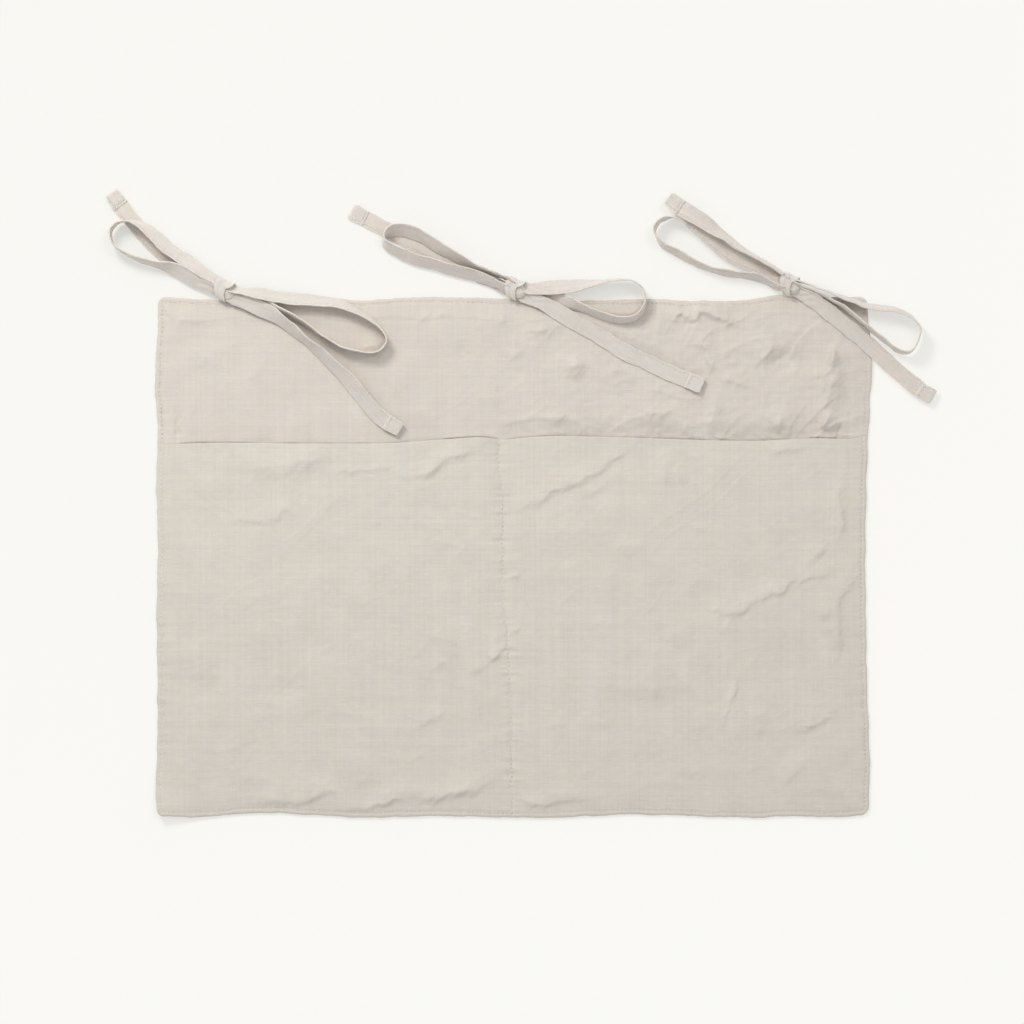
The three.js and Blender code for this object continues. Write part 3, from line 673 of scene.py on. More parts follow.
def pocket_top(s, t):
    """The pocket cloth's outer surface, sewn down at its edges and divider and open at the mouth."""
    x, y = laid_out(s, t)
    below = MOUTH_Y - t
    near_mouth = 1 - ease(below, 0, 60 * MM)
    y = y + near_mouth * (along_line(MOUTH_LINE, s) - MOUTH_Y)
    d = np.minimum(side_distance(s), t - PANEL_LOW.y)
    seam = x - divider_x(t)
    from_edge = np.maximum(d - stitch().inset, 0) / (11 * MM)
    swell = (1 - np.exp(-from_edge)) * (1 - np.exp(-np.abs(seam) / (9 * MM)))
    z = SEAM_TOP + cloth().pocket_puff * swell
    z = z + seam_dent(seam, t, 0.6 * MM) + 0.30 * MM * pucker(seam, t, 51) * ease(np.abs(seam), 0, 2 * MM)
    z = z + edge_relief(s, np.minimum(t, MOUTH_Y - cloth().allowance))
    z = z + soft_lie(s, t, 20, 0.6) * ease(d, 2 * MM, 25 * MM) * (0.4 + 0.6 * swell)
    z = z + 0.9 * creases(x, y, POCKET_CREASES, 0.35)
    for middle, half, lift in MOUTH_GAPS:
        bump = 1 - ease(np.abs(s - middle * MM), 0.3 * half * MM, half * MM)
        z = z + lift * MM * bump * np.exp(-below / (16 * MM))
    z = z + 0.25 * MM * waves_along(s, 48 * MM, 91, 8) * np.exp(-below / (20 * MM)) * swell
    z = np.maximum(z, SEAM_TOP - 0.5 * MM)
    z = z + rounding(d, 2.6 * MM, 1.3 * MM) + rounding(below, 0.7 * MM, 0.3 * MM)
    return x, y, z + corner_curl(s, t)


def grid_lines(low, high, step, fine_low=False, fine_high=False):
    """Places of grid lines, closer together beside a fine end."""
    offsets = np.array(FINE_LINES) * MM
    start = low + offsets if fine_low else np.array([low])
    stop = high - offsets[::-1] if fine_high else np.array([high])
    count = max(int(round((stop[0] - start[-1]) / step)), 1)
    return np.concatenate([start[:-1], np.linspace(start[-1], stop[0], count + 1), stop[1:]])


def surface(shape, s_lines, t_lines):
    """A surface's points over grid lines, as rows of t and columns of s."""
    s, t = np.meshgrid(s_lines, t_lines)
    return np.stack(shape(s, t), -1)


def surface_normals(places):
    return unit_rows(np.cross(np.gradient(places, axis=1), np.gradient(places, axis=0)))


def underside(places, thickness, lowest):
    """A cloth's other face, a thickness below the first and nowhere under lowest."""
    under = places.copy()
    under[..., 2] = np.minimum(np.maximum(places[..., 2] - thickness, lowest), places[..., 2] - 0.1 * MM)
    return under


def mesh_of(bm, name):
    """Hands a bmesh over to a new mesh."""
    mesh = bpy.data.meshes.new(name)
    bm.to_mesh(mesh)
    bm.free()
    return mesh


def vertex_places(mesh):
    co = np.empty(len(mesh.vertices) * 3)
    mesh.vertices.foreach_get("co", co)
    return co.reshape(-1, 3)


def shade_smooth(mesh):
    mesh.polygons.foreach_set("use_smooth", np.ones(len(mesh.polygons), bool))
    mesh.update()


def add_flat_uv(mesh, s, t):
    """The flat cloth's own coordinates, in metres, as the UV map that its weave follows."""
    layer = mesh.uv_layers.new(name="weave")
    index = np.empty(len(mesh.loops), int)
    mesh.loops.foreach_get("vertex_index", index)
    layer.data.foreach_set("uv", np.stack([s[index], t[index]], 1).ravel())


def add_object(name, data):
    made = bpy.data.objects.new(name, data)
    bpy.context.scene.collection.objects.link(made)
    return made


def cloth_sheet(name, s_lines, t_lines, top, under, normals=None):
    """A closed sheet of cloth over grid lines, from the points of its two faces.
    A piece cut from a larger cloth takes that cloth's normals for its upper face."""
    bm = bmesh.new()
    columns, rows = len(s_lines) - 1, len(t_lines) - 1
    bmesh.ops.create_grid(bm, x_segments=columns, y_segments=rows, size=0.5)
    lifted = bmesh.ops.extrude_face_region(bm, geom=bm.faces[:], use_keep_orig=True)
    above = [v for v in lifted["geom"] if isinstance(v, bmesh.types.BMVert)]
    bmesh.ops.translate(bm, verts=above, vec=(0, 0, 1))
    bmesh.ops.recalc_face_normals(bm, faces=bm.faces[:])
    mesh = mesh_of(bm, name)
    co = vertex_places(mesh)
    i = np.rint((co[:, 0] + 0.5) * columns).astype(int)
    j = np.rint((co[:, 1] + 0.5) * rows).astype(int)
    is_top = (co[:, 2] > 0.5)[:, None]
    mesh.vertices.foreach_set("co", np.where(is_top, top[j, i], under[j, i]).ravel())
    shade_smooth(mesh)
    if normals is not None:
        mesh.normals_split_custom_set_from_vertices(np.where(is_top, normals[j, i], 0).tolist())
    add_flat_uv(mesh, np.asarray(s_lines)[i], np.asarray(t_lines)[j])
    return add_object(name, mesh)


def repeated(name, unit, matrices):
    """One mesh of many copies of a small unit mesh, each placed by a matrix."""
    co = vertex_places(unit)
    count = len(co)
    co = np.hstack([co, np.ones((count, 1))])
    places = np.array([np.array(m) for m in matrices])
    points = np.einsum("kij,nj->kni", places, co)[:, :, :3].reshape(-1, 3)
    faces = [tuple(p.vertices) for p in unit.polygons]
    every = [tuple(v + k * count for v in f) for k in range(len(matrices)) for f in faces]
    mesh = bpy.data.meshes.new(name)
    mesh.from_pydata(points.tolist(), [], every)
    shade_smooth(mesh)
    return mesh


def stitch_unit():
    """One stitch of unit length along X: a thread that dives into the cloth at both ends."""
    bm = bmesh.new()
    bmesh.ops.create_circle(bm, cap_ends=True, segments=6, radius=0.5)
    bmesh.ops.rotate(bm, verts=bm.verts[:], matrix=Matrix.Rotation(math.pi / 2, 3, "Y"))
    end = bm.faces[:]
    shape = [(-0.5, -1.3, 0.7), (-0.43, -0.35, 1.0), (-0.2, 0.12, 1.05),
             (0.2, 0.12, 1.05), (0.43, -0.35, 1.0), (0.5, -1.3, 0.7)]
    for v in bm.verts:
        v.co = Vector((shape[0][0], v.co.y * shape[0][2], v.co.z * shape[0][2] + shape[0][1]))
    for before, after in zip(shape[:-1], shape[1:]):
        made = bmesh.ops.extrude_face_region(bm, geom=end)
        verts = [g for g in made["geom"] if isinstance(g, bmesh.types.BMVert)]
        end = [g for g in made["geom"] if isinstance(g, bmesh.types.BMFace)]
        for v in verts:
            v.co.x = after[0]
            v.co.y *= after[2] / before[2]
            v.co.z = (v.co.z - before[1]) * after[2] / before[2] + after[1]
    bmesh.ops.recalc_face_normals(bm, faces=bm.faces[:])
    return mesh_of(bm, "stitch_unit")


def stitches_along(path, normals, pitch, phase=0.0):
    """Matrices that lay one stitch after another along a path, on the side that the normals point to."""
    lengths = run_length(path)
    rng = np.random.default_rng(len(path))
    thick = stitch().thread

    def read(rows, at):
        return np.array([np.interp(at, lengths, rows[:, i]) for i in range(3)])

    found = []
    for start in np.arange(phase * pitch, lengths[-1] - 0.6 * pitch, pitch):
        a, b = read(path, start + 0.1 * pitch), read(path, start + 0.9 * pitch)
        x = Vector(b - a)
        length = x.length
        x.normalize()
        z = Vector(read(normals, start + 0.5 * pitch))
        z = (z - x * z.dot(x)).normalized()
        x = (x + z.cross(x) * float(rng.normal(0, 0.07))).normalized()
        y = z.cross(x)
        centre = (a + b) / 2
        rows = [[x[i] * length, y[i] * thick, z[i] * thick, centre[i]] for i in range(3)]
        found.append(Matrix(rows + [[0, 0, 0, 1]]))
    return found


def surface_path(shape, s, t, lift):
    """Points and normals along flat-cloth places s, t on a surface, lifted off it."""
    place = np.stack(shape(s, t), 1)
    reach = 0.8 * MM
    side = np.stack(shape(s + reach, t), 1) - np.stack(shape(s - reach, t), 1)
    up = np.stack(shape(s, t + reach), 1) - np.stack(shape(s, t - reach), 1)
    normal = unit_rows(np.cross(side, up))
    return place + normal * lift, normal


def half_stations(name, side, steps=9):
    """Stations of the loop and of the tail of one half of a bow."""
    half = TIES[name][side]
    loop = tape_stations(name, side, half["start"], half["points"], half["end"], steps)
    tail = tape_stations(name, side, half["tail_start"], half["tail"], None, steps)
    return loop, tail


def tape_stations(name, side, start, points, end, steps):
    """Middles, across and face directions, widths and distances from the knot's face along a tape."""
    low, high = KNOT_BOXES[name]
    middle = np.array([(low.x + high.x) / 2, (low.y + high.y) / 2, 0])
    heading, leftward = turned(TIES[name][side]["heading"])
    face_distance = (KNOT_LENGTH / 2 + FACE_GAP) * MM

    def at_knot(side_mm, low_mm, roll, inwards):
        """A row at the knot's face, or further in, where the tape draws together under the wrap."""
        squeeze = 1 - 0.25 * inwards
        place = middle + heading * face_distance * (1 - inwards) + leftward * side_mm * squeeze * MM
        lean = 90 if roll > 60 else 0
        level = (KNOT_LOW + low_mm + 0.7 * inwards) * MM
        return [place[0], place[1], level, roll + (lean - roll) * 0.3 * inwards]

    depths = (0.95, 0.5, 0.0) if side == "inner" else (0.6, 0.3, 0.0)
    rows = [at_knot(*start, depth) for depth in depths]
    rows += [[middle[0] + x * MM, middle[1] + y * MM, (HALF_BASE[side] + z) * MM, r] for x, y, z, r in points]
    if end:
        rows += [at_knot(*end, depth) for depth in reversed(depths)]
    route = curve_points(rows, steps)
    spots = np.arange(len(route)) * 10 * MM / steps
    ends = np.minimum(spots, spots[-1] - spots) if end else spots
    for axis in (0, 1):
        sway = waves_along(spots, 26 * MM, int(abs(rows[3][axis]) * 1e5), 6)
        route[:, axis] += 0.15 * MM * ease(ends, 20 * MM, 45 * MM) * sway
    distance = np.hypot(route[:, 0] - middle[0], route[:, 1] - middle[1]) - face_distance
    width = tape().width * (TAPE_GATHER + (1 - TAPE_GATHER) * ease(distance, 0, GATHER_LENGTH * MM))
    lean = np.radians(route[:, 3])
    places = route[:, :3].copy()
    places[:, 2] += (width * np.abs(np.sin(lean)) + ROUTE_THICKNESS * MM * np.abs(np.cos(lean))) / 2
    along = unit_rows(np.gradient(places, axis=0))
    run = run_length(places)
    near = (1 - ease(run, 0, 5 * MM))[:, None]
    along = along * (1 - near) + heading * near
    if end:
        near = (1 - ease(run[-1] - run, 0, 5 * MM))[:, None]
        along = along * (1 - near) - heading * near
    along = unit_rows(along)
    level = unit_rows(np.cross([0, 0, 1], along))
    across = level * np.cos(lean)[:, None] + np.cross(along, level) * np.sin(lean)[:, None]
    return {"at": places, "along": along, "across": across, "face": np.cross(along, across), "width": width,
            "gap": distance, "run": run, "low": route[:, 2], "heading": heading,
            "knot_face": middle + heading * face_distance}


def fold_under(stations):
    """Adds a hem to a tape's stations: it rises over its turned end, goes round and comes back underneath.
    Returns the stations, and those of them on the upper side."""
    hem = tape().hem
    layer = tape().thickness + 0.05 * MM
    old = stations["run"]
    fine = np.linspace(old[-1] - hem - 3 * MM, old[-1], 36)
    run = np.concatenate([old[old < fine[0] - 0.3 * MM], fine])
    upper = {
        key: np.interp(run, old, value) if value.ndim == 1
        else np.stack([np.interp(run, old, value[:, i]) for i in range(3)], 1)
        for key, value in stations.items() if len(value) == len(old)}
    corner = np.clip((run - run[-1]) / (2.0 * MM) + 1, 0, 1)
    upper["width"] = upper["width"] - 2.0 * MM * (1 - np.sqrt(1 - 0.97 * corner * corner))
    rise = ease(run, run[-1] - hem - 1.1 * MM, run[-1] - hem + 0.1 * MM) * layer
    upper["at"] = upper["at"] + upper["face"] * rise[:, None]
    last = {key: upper[key][-1] for key in ("at", "along", "across", "face", "width", "gap")}
    radius = layer / 2
    below = []
    for angle in np.linspace(0, math.pi, 7)[1:]:
        shift = last["along"] * math.sin(angle) * radius - last["face"] * (1 - math.cos(angle)) * radius
        facing = last["face"] * math.cos(angle) + last["along"] * math.sin(angle)
        below.append((last["at"] + shift, facing))
    for back in np.linspace(0, hem, 7)[1:]:
        below.append((last["at"] - last["face"] * 2 * radius - last["along"] * back, -last["face"]))
    folded = {key: np.concatenate([upper[key], np.repeat(value[None], len(below), 0)])
              for key, value in last.items()}
    for key, rows in zip(("at", "face"), zip(*below)):
        folded[key] = np.vstack([upper[key], rows])
    folded["run"] = run_length(folded["at"])
    return folded, upper


def tape_relief(stations, v, seed):
    """Offset along the tape's face: gathers at the knot, a lengthwise seam and a slight wave."""
    gap, run = stations["gap"][:, None], stations["run"][:, None]
    near_knot = 1 - ease(gap, 0, 26 * MM)
    gathers = 0.30 * MM * near_knot * np.cos(v * 5.5 + 3 * waves_along(run, 30 * MM, seed, 6))
    across = v * 6 * MM
    waver = 0.20 * waves(run, across, 17 * MM, seed + 3, 8) + 0.10 * waves(run, across, 7 * MM, seed + 4, 8)
    seam = -0.16 * MM * bell(v - TAPE_SEAM, 0.11)
    return gathers + waver * MM * (0.4 + 0.6 * v * v) + seam


def crowded(v):
    """Places from -1 to 1 across a tape, drawn closer together towards its edges."""
    return 0.5 * v + 0.5 * np.sin(v * math.pi / 2)


def tape_piece(name, stations, seed, extra=None):
    """A tape as a closed strip over its stations, with rounded edges; extra adds relief along its face."""
    columns = 14
    rows = len(stations["at"]) - 1
    bm = bmesh.new()
    bmesh.ops.create_grid(bm, x_segments=rows, y_segments=columns, size=0.5)
    mesh = mesh_of(bm, name)
    co = vertex_places(mesh)
    i = np.rint((co[:, 0] + 0.5) * rows).astype(int)
    j = np.rint((co[:, 1] + 0.5) * columns).astype(int)
    lines = crowded(np.linspace(-1, 1, columns + 1)[None, :])
    relief = tape_relief(stations, lines, seed) + (0 if extra is None else extra(stations, lines))
    v = crowded(2 * co[:, 1])
    run = stations["run"][i]
    uneven = 0.035 * waves_along(run, 20 * MM, seed + 7, 6)
    uneven = uneven + 0.014 * waves(run, v * 30 * MM, 4 * MM, seed + 8, 6)
    wide = stations["width"][i] / 2 * (1 + uneven)
    place = stations["at"][i] + stations["across"][i] * (v * wide)[:, None]
    place = place + stations["face"][i] * relief[i, j][:, None]
    mesh.vertices.foreach_set("co", place.ravel())
    shade_smooth(mesh)
    add_flat_uv(mesh, run + seed * 0.13, v * tape().width / 2)
    made = add_object(name, mesh)
    solid = made.modifiers.new("Thickness", "SOLIDIFY")
    solid.thickness = tape().thickness
    solid.offset = 0
    soften = made.modifiers.new("Soften", "SUBSURF")
    soften.levels = soften.render_levels = 1
    return made


def calculated(tree, kind, operation, *values):
    """The result of a math node, or of a vector math node, over sockets and plain values."""
    node = tree.nodes.new(kind)
    node.operation = operation
    for socket, value in zip(node.inputs, values):
        if isinstance(value, bpy.types.NodeSocket):
            tree.links.new(value, socket)
        else:
            socket.default_value = value
    return node.outputs["Value" if "Value" in node.outputs else 0]


def set_inputs(node, values):
    for socket, value in values.items():
        node.inputs[socket].default_value = value


def new_material(name):
    """A material, its node tree and its shader."""
    material = bpy.data.materials.new(name)
    material.use_nodes = True
    return material, material.node_tree, material.node_tree.nodes["Principled BSDF"]


def add_bump(tree, shader, height, strength, distance):
    """Fine relief on the shader, from the socket that gives its height."""
    bump = tree.nodes.new("ShaderNodeBump")
    set_inputs(bump, {"Strength": strength, "Distance": distance})
    tree.links.new(height, bump.inputs["Height"])
    tree.links.new(bump.outputs[0], shader.inputs["Normal"])


def linen_group():
    """Node group for woven linen: colour with slubs and mottling, and the height of its threads."""
    group = bpy.data.node_groups.get("Linen weave")
    if group:
        return group
    group = bpy.data.node_groups.new("Linen weave", "ShaderNodeTree")
    for way, sockets in (
        ("INPUT", (("Vector", "Vector"), ("Colour", "Color"), ("Slubs", "Float"), ("Mottle", "Float"),
                   ("Thread pitch", "Float"))),
        ("OUTPUT", (("Colour", "Color"), ("Height", "Float"), ("Roughness", "Float"))),
    ):
        for name, kind in sockets:
            group.interface.new_socket(name=name, in_out=way, socket_type=f"NodeSocket{kind}")
    nodes, links = group.nodes, group.links
    given = nodes.new("NodeGroupInput").outputs
    leave = nodes.new("NodeGroupOutput")

    def number(operation, *values):
        return calculated(group, "ShaderNodeMath", operation, *values)

    def vector(operation, *values):
        return calculated(group, "ShaderNodeVectorMath", operation, *values)

    def stretched_noise(scale, detail, offset):
        noise = nodes.new("ShaderNodeTexNoise")
        set_inputs(noise, {"Scale": 1.0, "Detail": detail, "Roughness": 0.55})
        links.new(vector("MULTIPLY_ADD", given["Vector"], scale, (offset,) * 3), noise.inputs["Vector"])
        return noise.outputs["Fac"]

    def window(source, low, high, to_low=0.0, to_high=1.0):
        node = nodes.new("ShaderNodeMapRange")
        links.new(source, node.inputs["Value"])
        set_inputs(node, {"From Min": low, "From Max": high, "To Min": to_low, "To Max": to_high})
        return node.outputs["Result"]

    weft = stretched_noise((95, 1500, 1), 1.0, 3.0)
    warp = stretched_noise((1500, 95, 1), 1.0, 11.0)
    weft_slub = window(weft, 0.60, 0.74)
    warp_slub = window(warp, 0.62, 0.76)
    weft_thin = window(weft, 0.40, 0.28)
    warp_thin = window(warp, 0.38, 0.26)
    weft_band = stretched_noise((6, 420, 1), 2.0, 5.0)
    warp_band = stretched_noise((420, 6, 1), 2.0, 7.0)
    cloud = stretched_noise((55, 55, 1), 5.0, 1.0)
    grain = stretched_noise((900, 900, 1), 2.0, 9.0)
    light = number("ADD", weft_slub, number("MULTIPLY", warp_slub, 0.6))
    dark = number("ADD", number("MULTIPLY", weft_thin, 0.6), number("MULTIPLY", warp_thin, 0.5))
    slub = number("MULTIPLY", number("SUBTRACT", light, dark), given["Slubs"])
    bands = number("SUBTRACT", number("ADD", weft_band, warp_band), 1.0)
    mottled = number("ADD", number("SUBTRACT", cloud, 0.5), number("MULTIPLY", bands, 0.9))
    mottled = number("ADD", mottled, number("MULTIPLY", number("SUBTRACT", grain, 0.5), 0.9))
    mottle = number("MULTIPLY", mottled, given["Mottle"])
    tint = nodes.new("ShaderNodeVectorMath")
    tint.operation = "SCALE"
    links.new(given["Colour"], tint.inputs[0])
    links.new(number("ADD", number("ADD", slub, mottle), 1.0), tint.inputs["Scale"])
    hue = number("MULTIPLY", number("SUBTRACT", stretched_noise((75, 75, 1), 3.0, 21.0), 0.5), 0.07)
    cast = nodes.new("ShaderNodeCombineXYZ")
    links.new(number("ADD", 1.0, hue), cast.inputs["X"])
    cast.inputs["Y"].default_value = 1.0
    links.new(number("SUBTRACT", 1.0, hue), cast.inputs["Z"])
    links.new(vector("MULTIPLY", tint.outputs[0], cast.outputs[0]), leave.inputs["Colour"])

    parts = nodes.new("ShaderNodeSeparateXYZ")
    links.new(given["Vector"], parts.inputs[0])
    turn = number("DIVIDE", math.pi, given["Thread pitch"])
    u, v = (number("MULTIPLY", parts.outputs[axis], turn) for axis in "XY")
    over_u, over_v = (number("ABSOLUTE", number("SINE", turns)) for turns in (u, v))
    crossing = number("MULTIPLY", number("COSINE", u), number("COSINE", v))
    weave = number("ADD", number("ADD", over_u, over_v), number("MULTIPLY", crossing, 0.5))
    height = number("MULTIPLY", weave, 0.25)
    for part, share in ((light, 0.45), (dark, -0.25), (grain, 0.9), (bands, 0.6)):
        height = number("ADD", height, number("MULTIPLY", part, share))
    links.new(height, leave.inputs["Height"])
    links.new(window(grain, 0.3, 0.7, 0.86, 0.98), leave.inputs["Roughness"])
    return group


def linen_material(name, color, slubs=0.085, mottle=0.125, pitch=0.00062, relief=0.12, passage=0.0):
    """A matt linen over the piece's flat coordinates; passage is how much light goes through its threads."""
    material, tree, shader = new_material(name)
    weave = tree.nodes.new("ShaderNodeGroup")
    weave.node_tree = linen_group()
    place = tree.nodes.new("ShaderNodeUVMap")
    place.uv_map = "weave"
    tree.links.new(place.outputs[0], weave.inputs["Vector"])
    set_inputs(weave, {"Colour": (*color, 1), "Slubs": slubs, "Mottle": mottle, "Thread pitch": pitch})
    tree.links.new(weave.outputs["Colour"], shader.inputs["Base Color"])
    tree.links.new(weave.outputs["Roughness"], shader.inputs["Roughness"])
    add_bump(tree, shader, weave.outputs["Height"], 0.55, relief * MM)
    set_inputs(shader, {
        "Sheen Weight": 0.10, "Sheen Roughness": 0.45, "Specular IOR Level": 0.25,
        "Subsurface Weight": passage, "Subsurface Radius": (1.0, 0.88, 0.76), "Subsurface Scale": 1.4 * MM})
    return material


def thread_material(name):
    """Twisted thread: a slanted twist over its own place."""
    material, tree, shader = new_material(name)
    place = tree.nodes.new("ShaderNodeTexCoord")
    twist = tree.nodes.new("ShaderNodeTexWave")
    twist.bands_direction = "DIAGONAL"
    set_inputs(twist, {"Scale": 900, "Distortion": 1.5})
    tree.links.new(place.outputs["Object"], twist.inputs["Vector"])
    ramp = tree.nodes.new("ShaderNodeValToRGB")
    for stop, level in zip(ramp.color_ramp.elements, (0.86, 1.08)):
        stop.color = (*(Vector(stitch().color) * level), 1)
    tree.links.new(twist.outputs["Fac"], ramp.inputs[0])
    tree.links.new(ramp.outputs[0], shader.inputs["Base Color"])
    add_bump(tree, shader, twist.outputs["Fac"], 0.4, 0.05 * MM)
    shader.inputs["Roughness"].default_value = 0.75
    return material


def shared_material(name, make, *values, **options):
    return bpy.data.materials.get(name) or make(name, *values, **options)


def body_linen():
    return shared_material("Panel linen", linen_material, tuple(cloth().body_color))


def pocket_linen():
    return shared_material("Pocket linen", linen_material, tuple(cloth().pocket_color))


def tape_linen():
    return shared_material(
        "Tape linen", linen_material, tuple(tape().color),
        slubs=0.10, mottle=0.11, pitch=0.00058, relief=0.15, passage=0.7)


def sewing_thread():
    return shared_material("Sewing thread", thread_material)


def finish_piece(piece, body, material, nodes=()):
    """Gives a piece its material and its body, and hides the CAD nodes that it stands for."""
    piece.data.materials.clear()
    piece.data.materials.append(material)
    if body:
        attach(piece, body)
    if nodes:
        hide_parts(*nodes)


class CADDY_OT_stage(bpy.types.Operator):
    """Make the floor, the lamps and the camera"""

    bl_idname = "caddy.stage"
    bl_label = "Stage"

    def execute(self, context):
        scene = context.scene
        settings = scene.caddy_stage
        scene.view_settings.view_transform = "Standard"
        bm = bmesh.new()
        bmesh.ops.create_grid(bm, x_segments=2, y_segments=2, size=8.0)
        bmesh.ops.translate(bm, verts=bm.verts[:], vec=(0, 0, -0.02 * MM))
        floor = add_object("floor", mesh_of(bm, "floor"))
        floor.data.materials.append(self.floor_material(settings))
        self.light_room(scene, settings)
        data = bpy.data.cameras.new("camera")
        data.sensor_width = 36
        data.lens = data.sensor_width * settings.camera_height / settings.view_width
        scene.camera = add_object("camera", data)
        scene.camera.location = (0, settings.view_centre_y, settings.camera_height)
        return {"FINISHED"}

    def lamp(self, settings, name):
        """Place and power of a lamp."""
        return Vector(getattr(settings, f"{name}_place")), getattr(settings, f"{name}_power")

    def floor_material(self, settings):
        """A pale floor. It gives off what the lamps and the room leave out, so that it looks even."""
        material, tree, shader = new_material("Pale floor")
        color = Vector(settings.floor_color)
        set_inputs(shader, {
            "Base Color": (*(color * settings.floor_share), 1), "Roughness": 1.0, "Specular IOR Level": 0.0,
            "Emission Color": (*color, 1)})
        spot = tree.nodes.new("ShaderNodeTexCoord").outputs["Object"]

        def number(operation, *values):
            return calculated(tree, "ShaderNodeMath", operation, *values)

        def vector(operation, *values):
            return calculated(tree, "ShaderNodeVectorMath", operation, *values)

        own = settings.floor_level - settings.floor_share * settings.room_light * settings.room_color[1]
        for name in LAMPS:
            place, power = self.lamp(settings, name)
            towards = vector("SUBTRACT", place, spot)
            facing = vector("DOT_PRODUCT", place, towards)
            square = vector("DOT_PRODUCT", towards, towards)
            falloff = number("DIVIDE", number("MAXIMUM", facing, 0.0), number("MULTIPLY", square, square))
            strength = settings.floor_share * power * place.z / (math.pi**2 * place.length)
            own = number("SUBTRACT", own, number("MULTIPLY", falloff, strength))
        tree.links.new(own, shader.inputs["Emission Strength"])
        return material

    def light_room(self, scene, settings):
        """Light from all round, and the lamps, which are aimed at the caddy's middle."""
        scene.world = bpy.data.worlds.new("room")
        scene.world.use_nodes = True
        set_inputs(scene.world.node_tree.nodes["Background"], {
            "Color": (*settings.room_color, 1), "Strength": settings.room_light})
        for name, (color, size) in LAMPS.items():
            place, power = self.lamp(settings, name)
            data = bpy.data.lights.new(name, "AREA")
            data.energy = power
            data.color = color
            data.size = size
            made = add_object(name, data)
            made.location = place
            made.rotation_euler = (-place).to_track_quat("-Z", "Y").to_euler()


class CADDY_OT_panels(bpy.types.Operator):
    """Make the back and front panels"""

    bl_idname = "caddy.panels"
    bl_label = "Panels"

    def execute(self, context):
        low, high = PANEL_LOW, PANEL_HIGH
        step = cloth().grid
        thickness = LAYER_SHARE * cloth().thickness
        across = grid_lines(low.x, high.x, 1.1 * step, True, True)
        hidden = grid_lines(low.y, MOUTH_Y - 12 * MM, 9 * step, True)
        mouth = grid_lines(MOUTH_Y - 12 * MM, MOUTH_Y + 8 * MM, 0.4 * step)
        shown = grid_lines(MOUTH_Y + 8 * MM, high.y, 1.05 * step, False, True)
        up = np.concatenate([hidden, mouth[1:], shown[1:]])
        top = surface(header_top, across, up)
        under = underside(top, thickness, PANEL_HIGH.z + 0.03 * MM)
        faces = (top, under, surface_normals(top))
        middle = len(across) // 2
        for name, part in zip(FRONT_PIECES, (slice(0, middle + 1), slice(middle, None))):
            front = cloth_sheet(name, across[part], up, *(face[:, part] for face in faces))
            finish_piece(front, ROOT, body_linen(), ["front_panel"])
        across = grid_lines(low.x, high.x, 2.4 * step, True, True)
        up = grid_lines(low.y, high.y, 2.4 * step, True, True)
        under = surface(back_under, across, up)
        top = under.copy()
        top[..., 2] = under[..., 2] + np.clip(0.97 * MM - under[..., 2], 0.1 * MM, thickness)
        back = cloth_sheet("back_panel_linen", across, up, top, under)
        finish_piece(back, ROOT, body_linen(), ["back_panel"])
        return {"FINISHED"}


class CADDY_OT_pockets(bpy.types.Operator):
    """Make the pocket cloth: a sewn bottom strip, and two halves of each pocket that meet in its middle"""

    bl_idname = "caddy.pockets"
    bl_label = "Pockets"

    def execute(self, context):
        low, high = PANEL_LOW, PANEL_HIGH
        step = cloth().grid
        divider = sum(c.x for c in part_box("pocket_divider_margin")) / 2
        left_middle, right_middle = POCKET_MIDDLES
        cuts = [low.x, left_middle, divider, right_middle, high.x]
        columns = [grid_lines(a, b, step, a == low.x, b == high.x) for a, b in zip(cuts[:-1], cuts[1:])]
        across = np.concatenate([columns[0]] + [c[1:] for c in columns[1:]])
        strip_rows = grid_lines(low.y, MARGIN_Y + 0.5 * MM, step, True)
        strip_rows = np.append(strip_rows[strip_rows < MARGIN_Y - 0.2 * MM], MARGIN_Y)
        rows = grid_lines(MARGIN_Y, MOUTH_Y, step, False, True)
        up = np.concatenate([strip_rows, rows[1:]])
        top = surface(pocket_top, across, up)
        mouth_turn = -2 * rounding(MOUTH_Y - up, 0.9 * MM, 0.4 * MM)[:, None]
        under = underside(top, LAYER_SHARE * cloth().thickness - mouth_turn, FRONT_TOP + 0.1 * MM)
        normals = surface_normals(top)
        last = len(strip_rows)
        faces = (top, under, normals)
        strip = cloth_sheet("pocket_hem_linen", across, strip_rows, *(face[:last] for face in faces))
        finish_piece(strip, ROOT, pocket_linen(), ["pocket_bottom_margin"])
        sewn, seam, free = 5 * MM, 9 * MM, 60 * MM
        quarters = [
            ("pocket_linen_left_outer", "left", low.x + sewn, low.x + free, "pocket_left_margin"),
            ("pocket_linen_left_inner", "left", divider - seam, divider - free, "pocket_divider_margin"),
            ("pocket_linen_right_inner", "right", divider + seam, divider + free, "pocket_divider_margin"),
            ("pocket_linen_right_outer", "right", high.x - sewn, high.x - free, "pocket_right_margin"),
        ]
        first = 0
        for (name, side, start, end, margin), lines in zip(quarters, columns):
            part = (slice(last - 1, None), slice(first, first + len(lines)))
            first += len(lines) - 1
            piece = cloth_sheet(name, lines, rows, *(face[part] for face in faces))
            finish_piece(piece, None, pocket_linen(), [f"pocket_front_{side}", margin])
            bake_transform(piece)
        return {"FINISHED"}


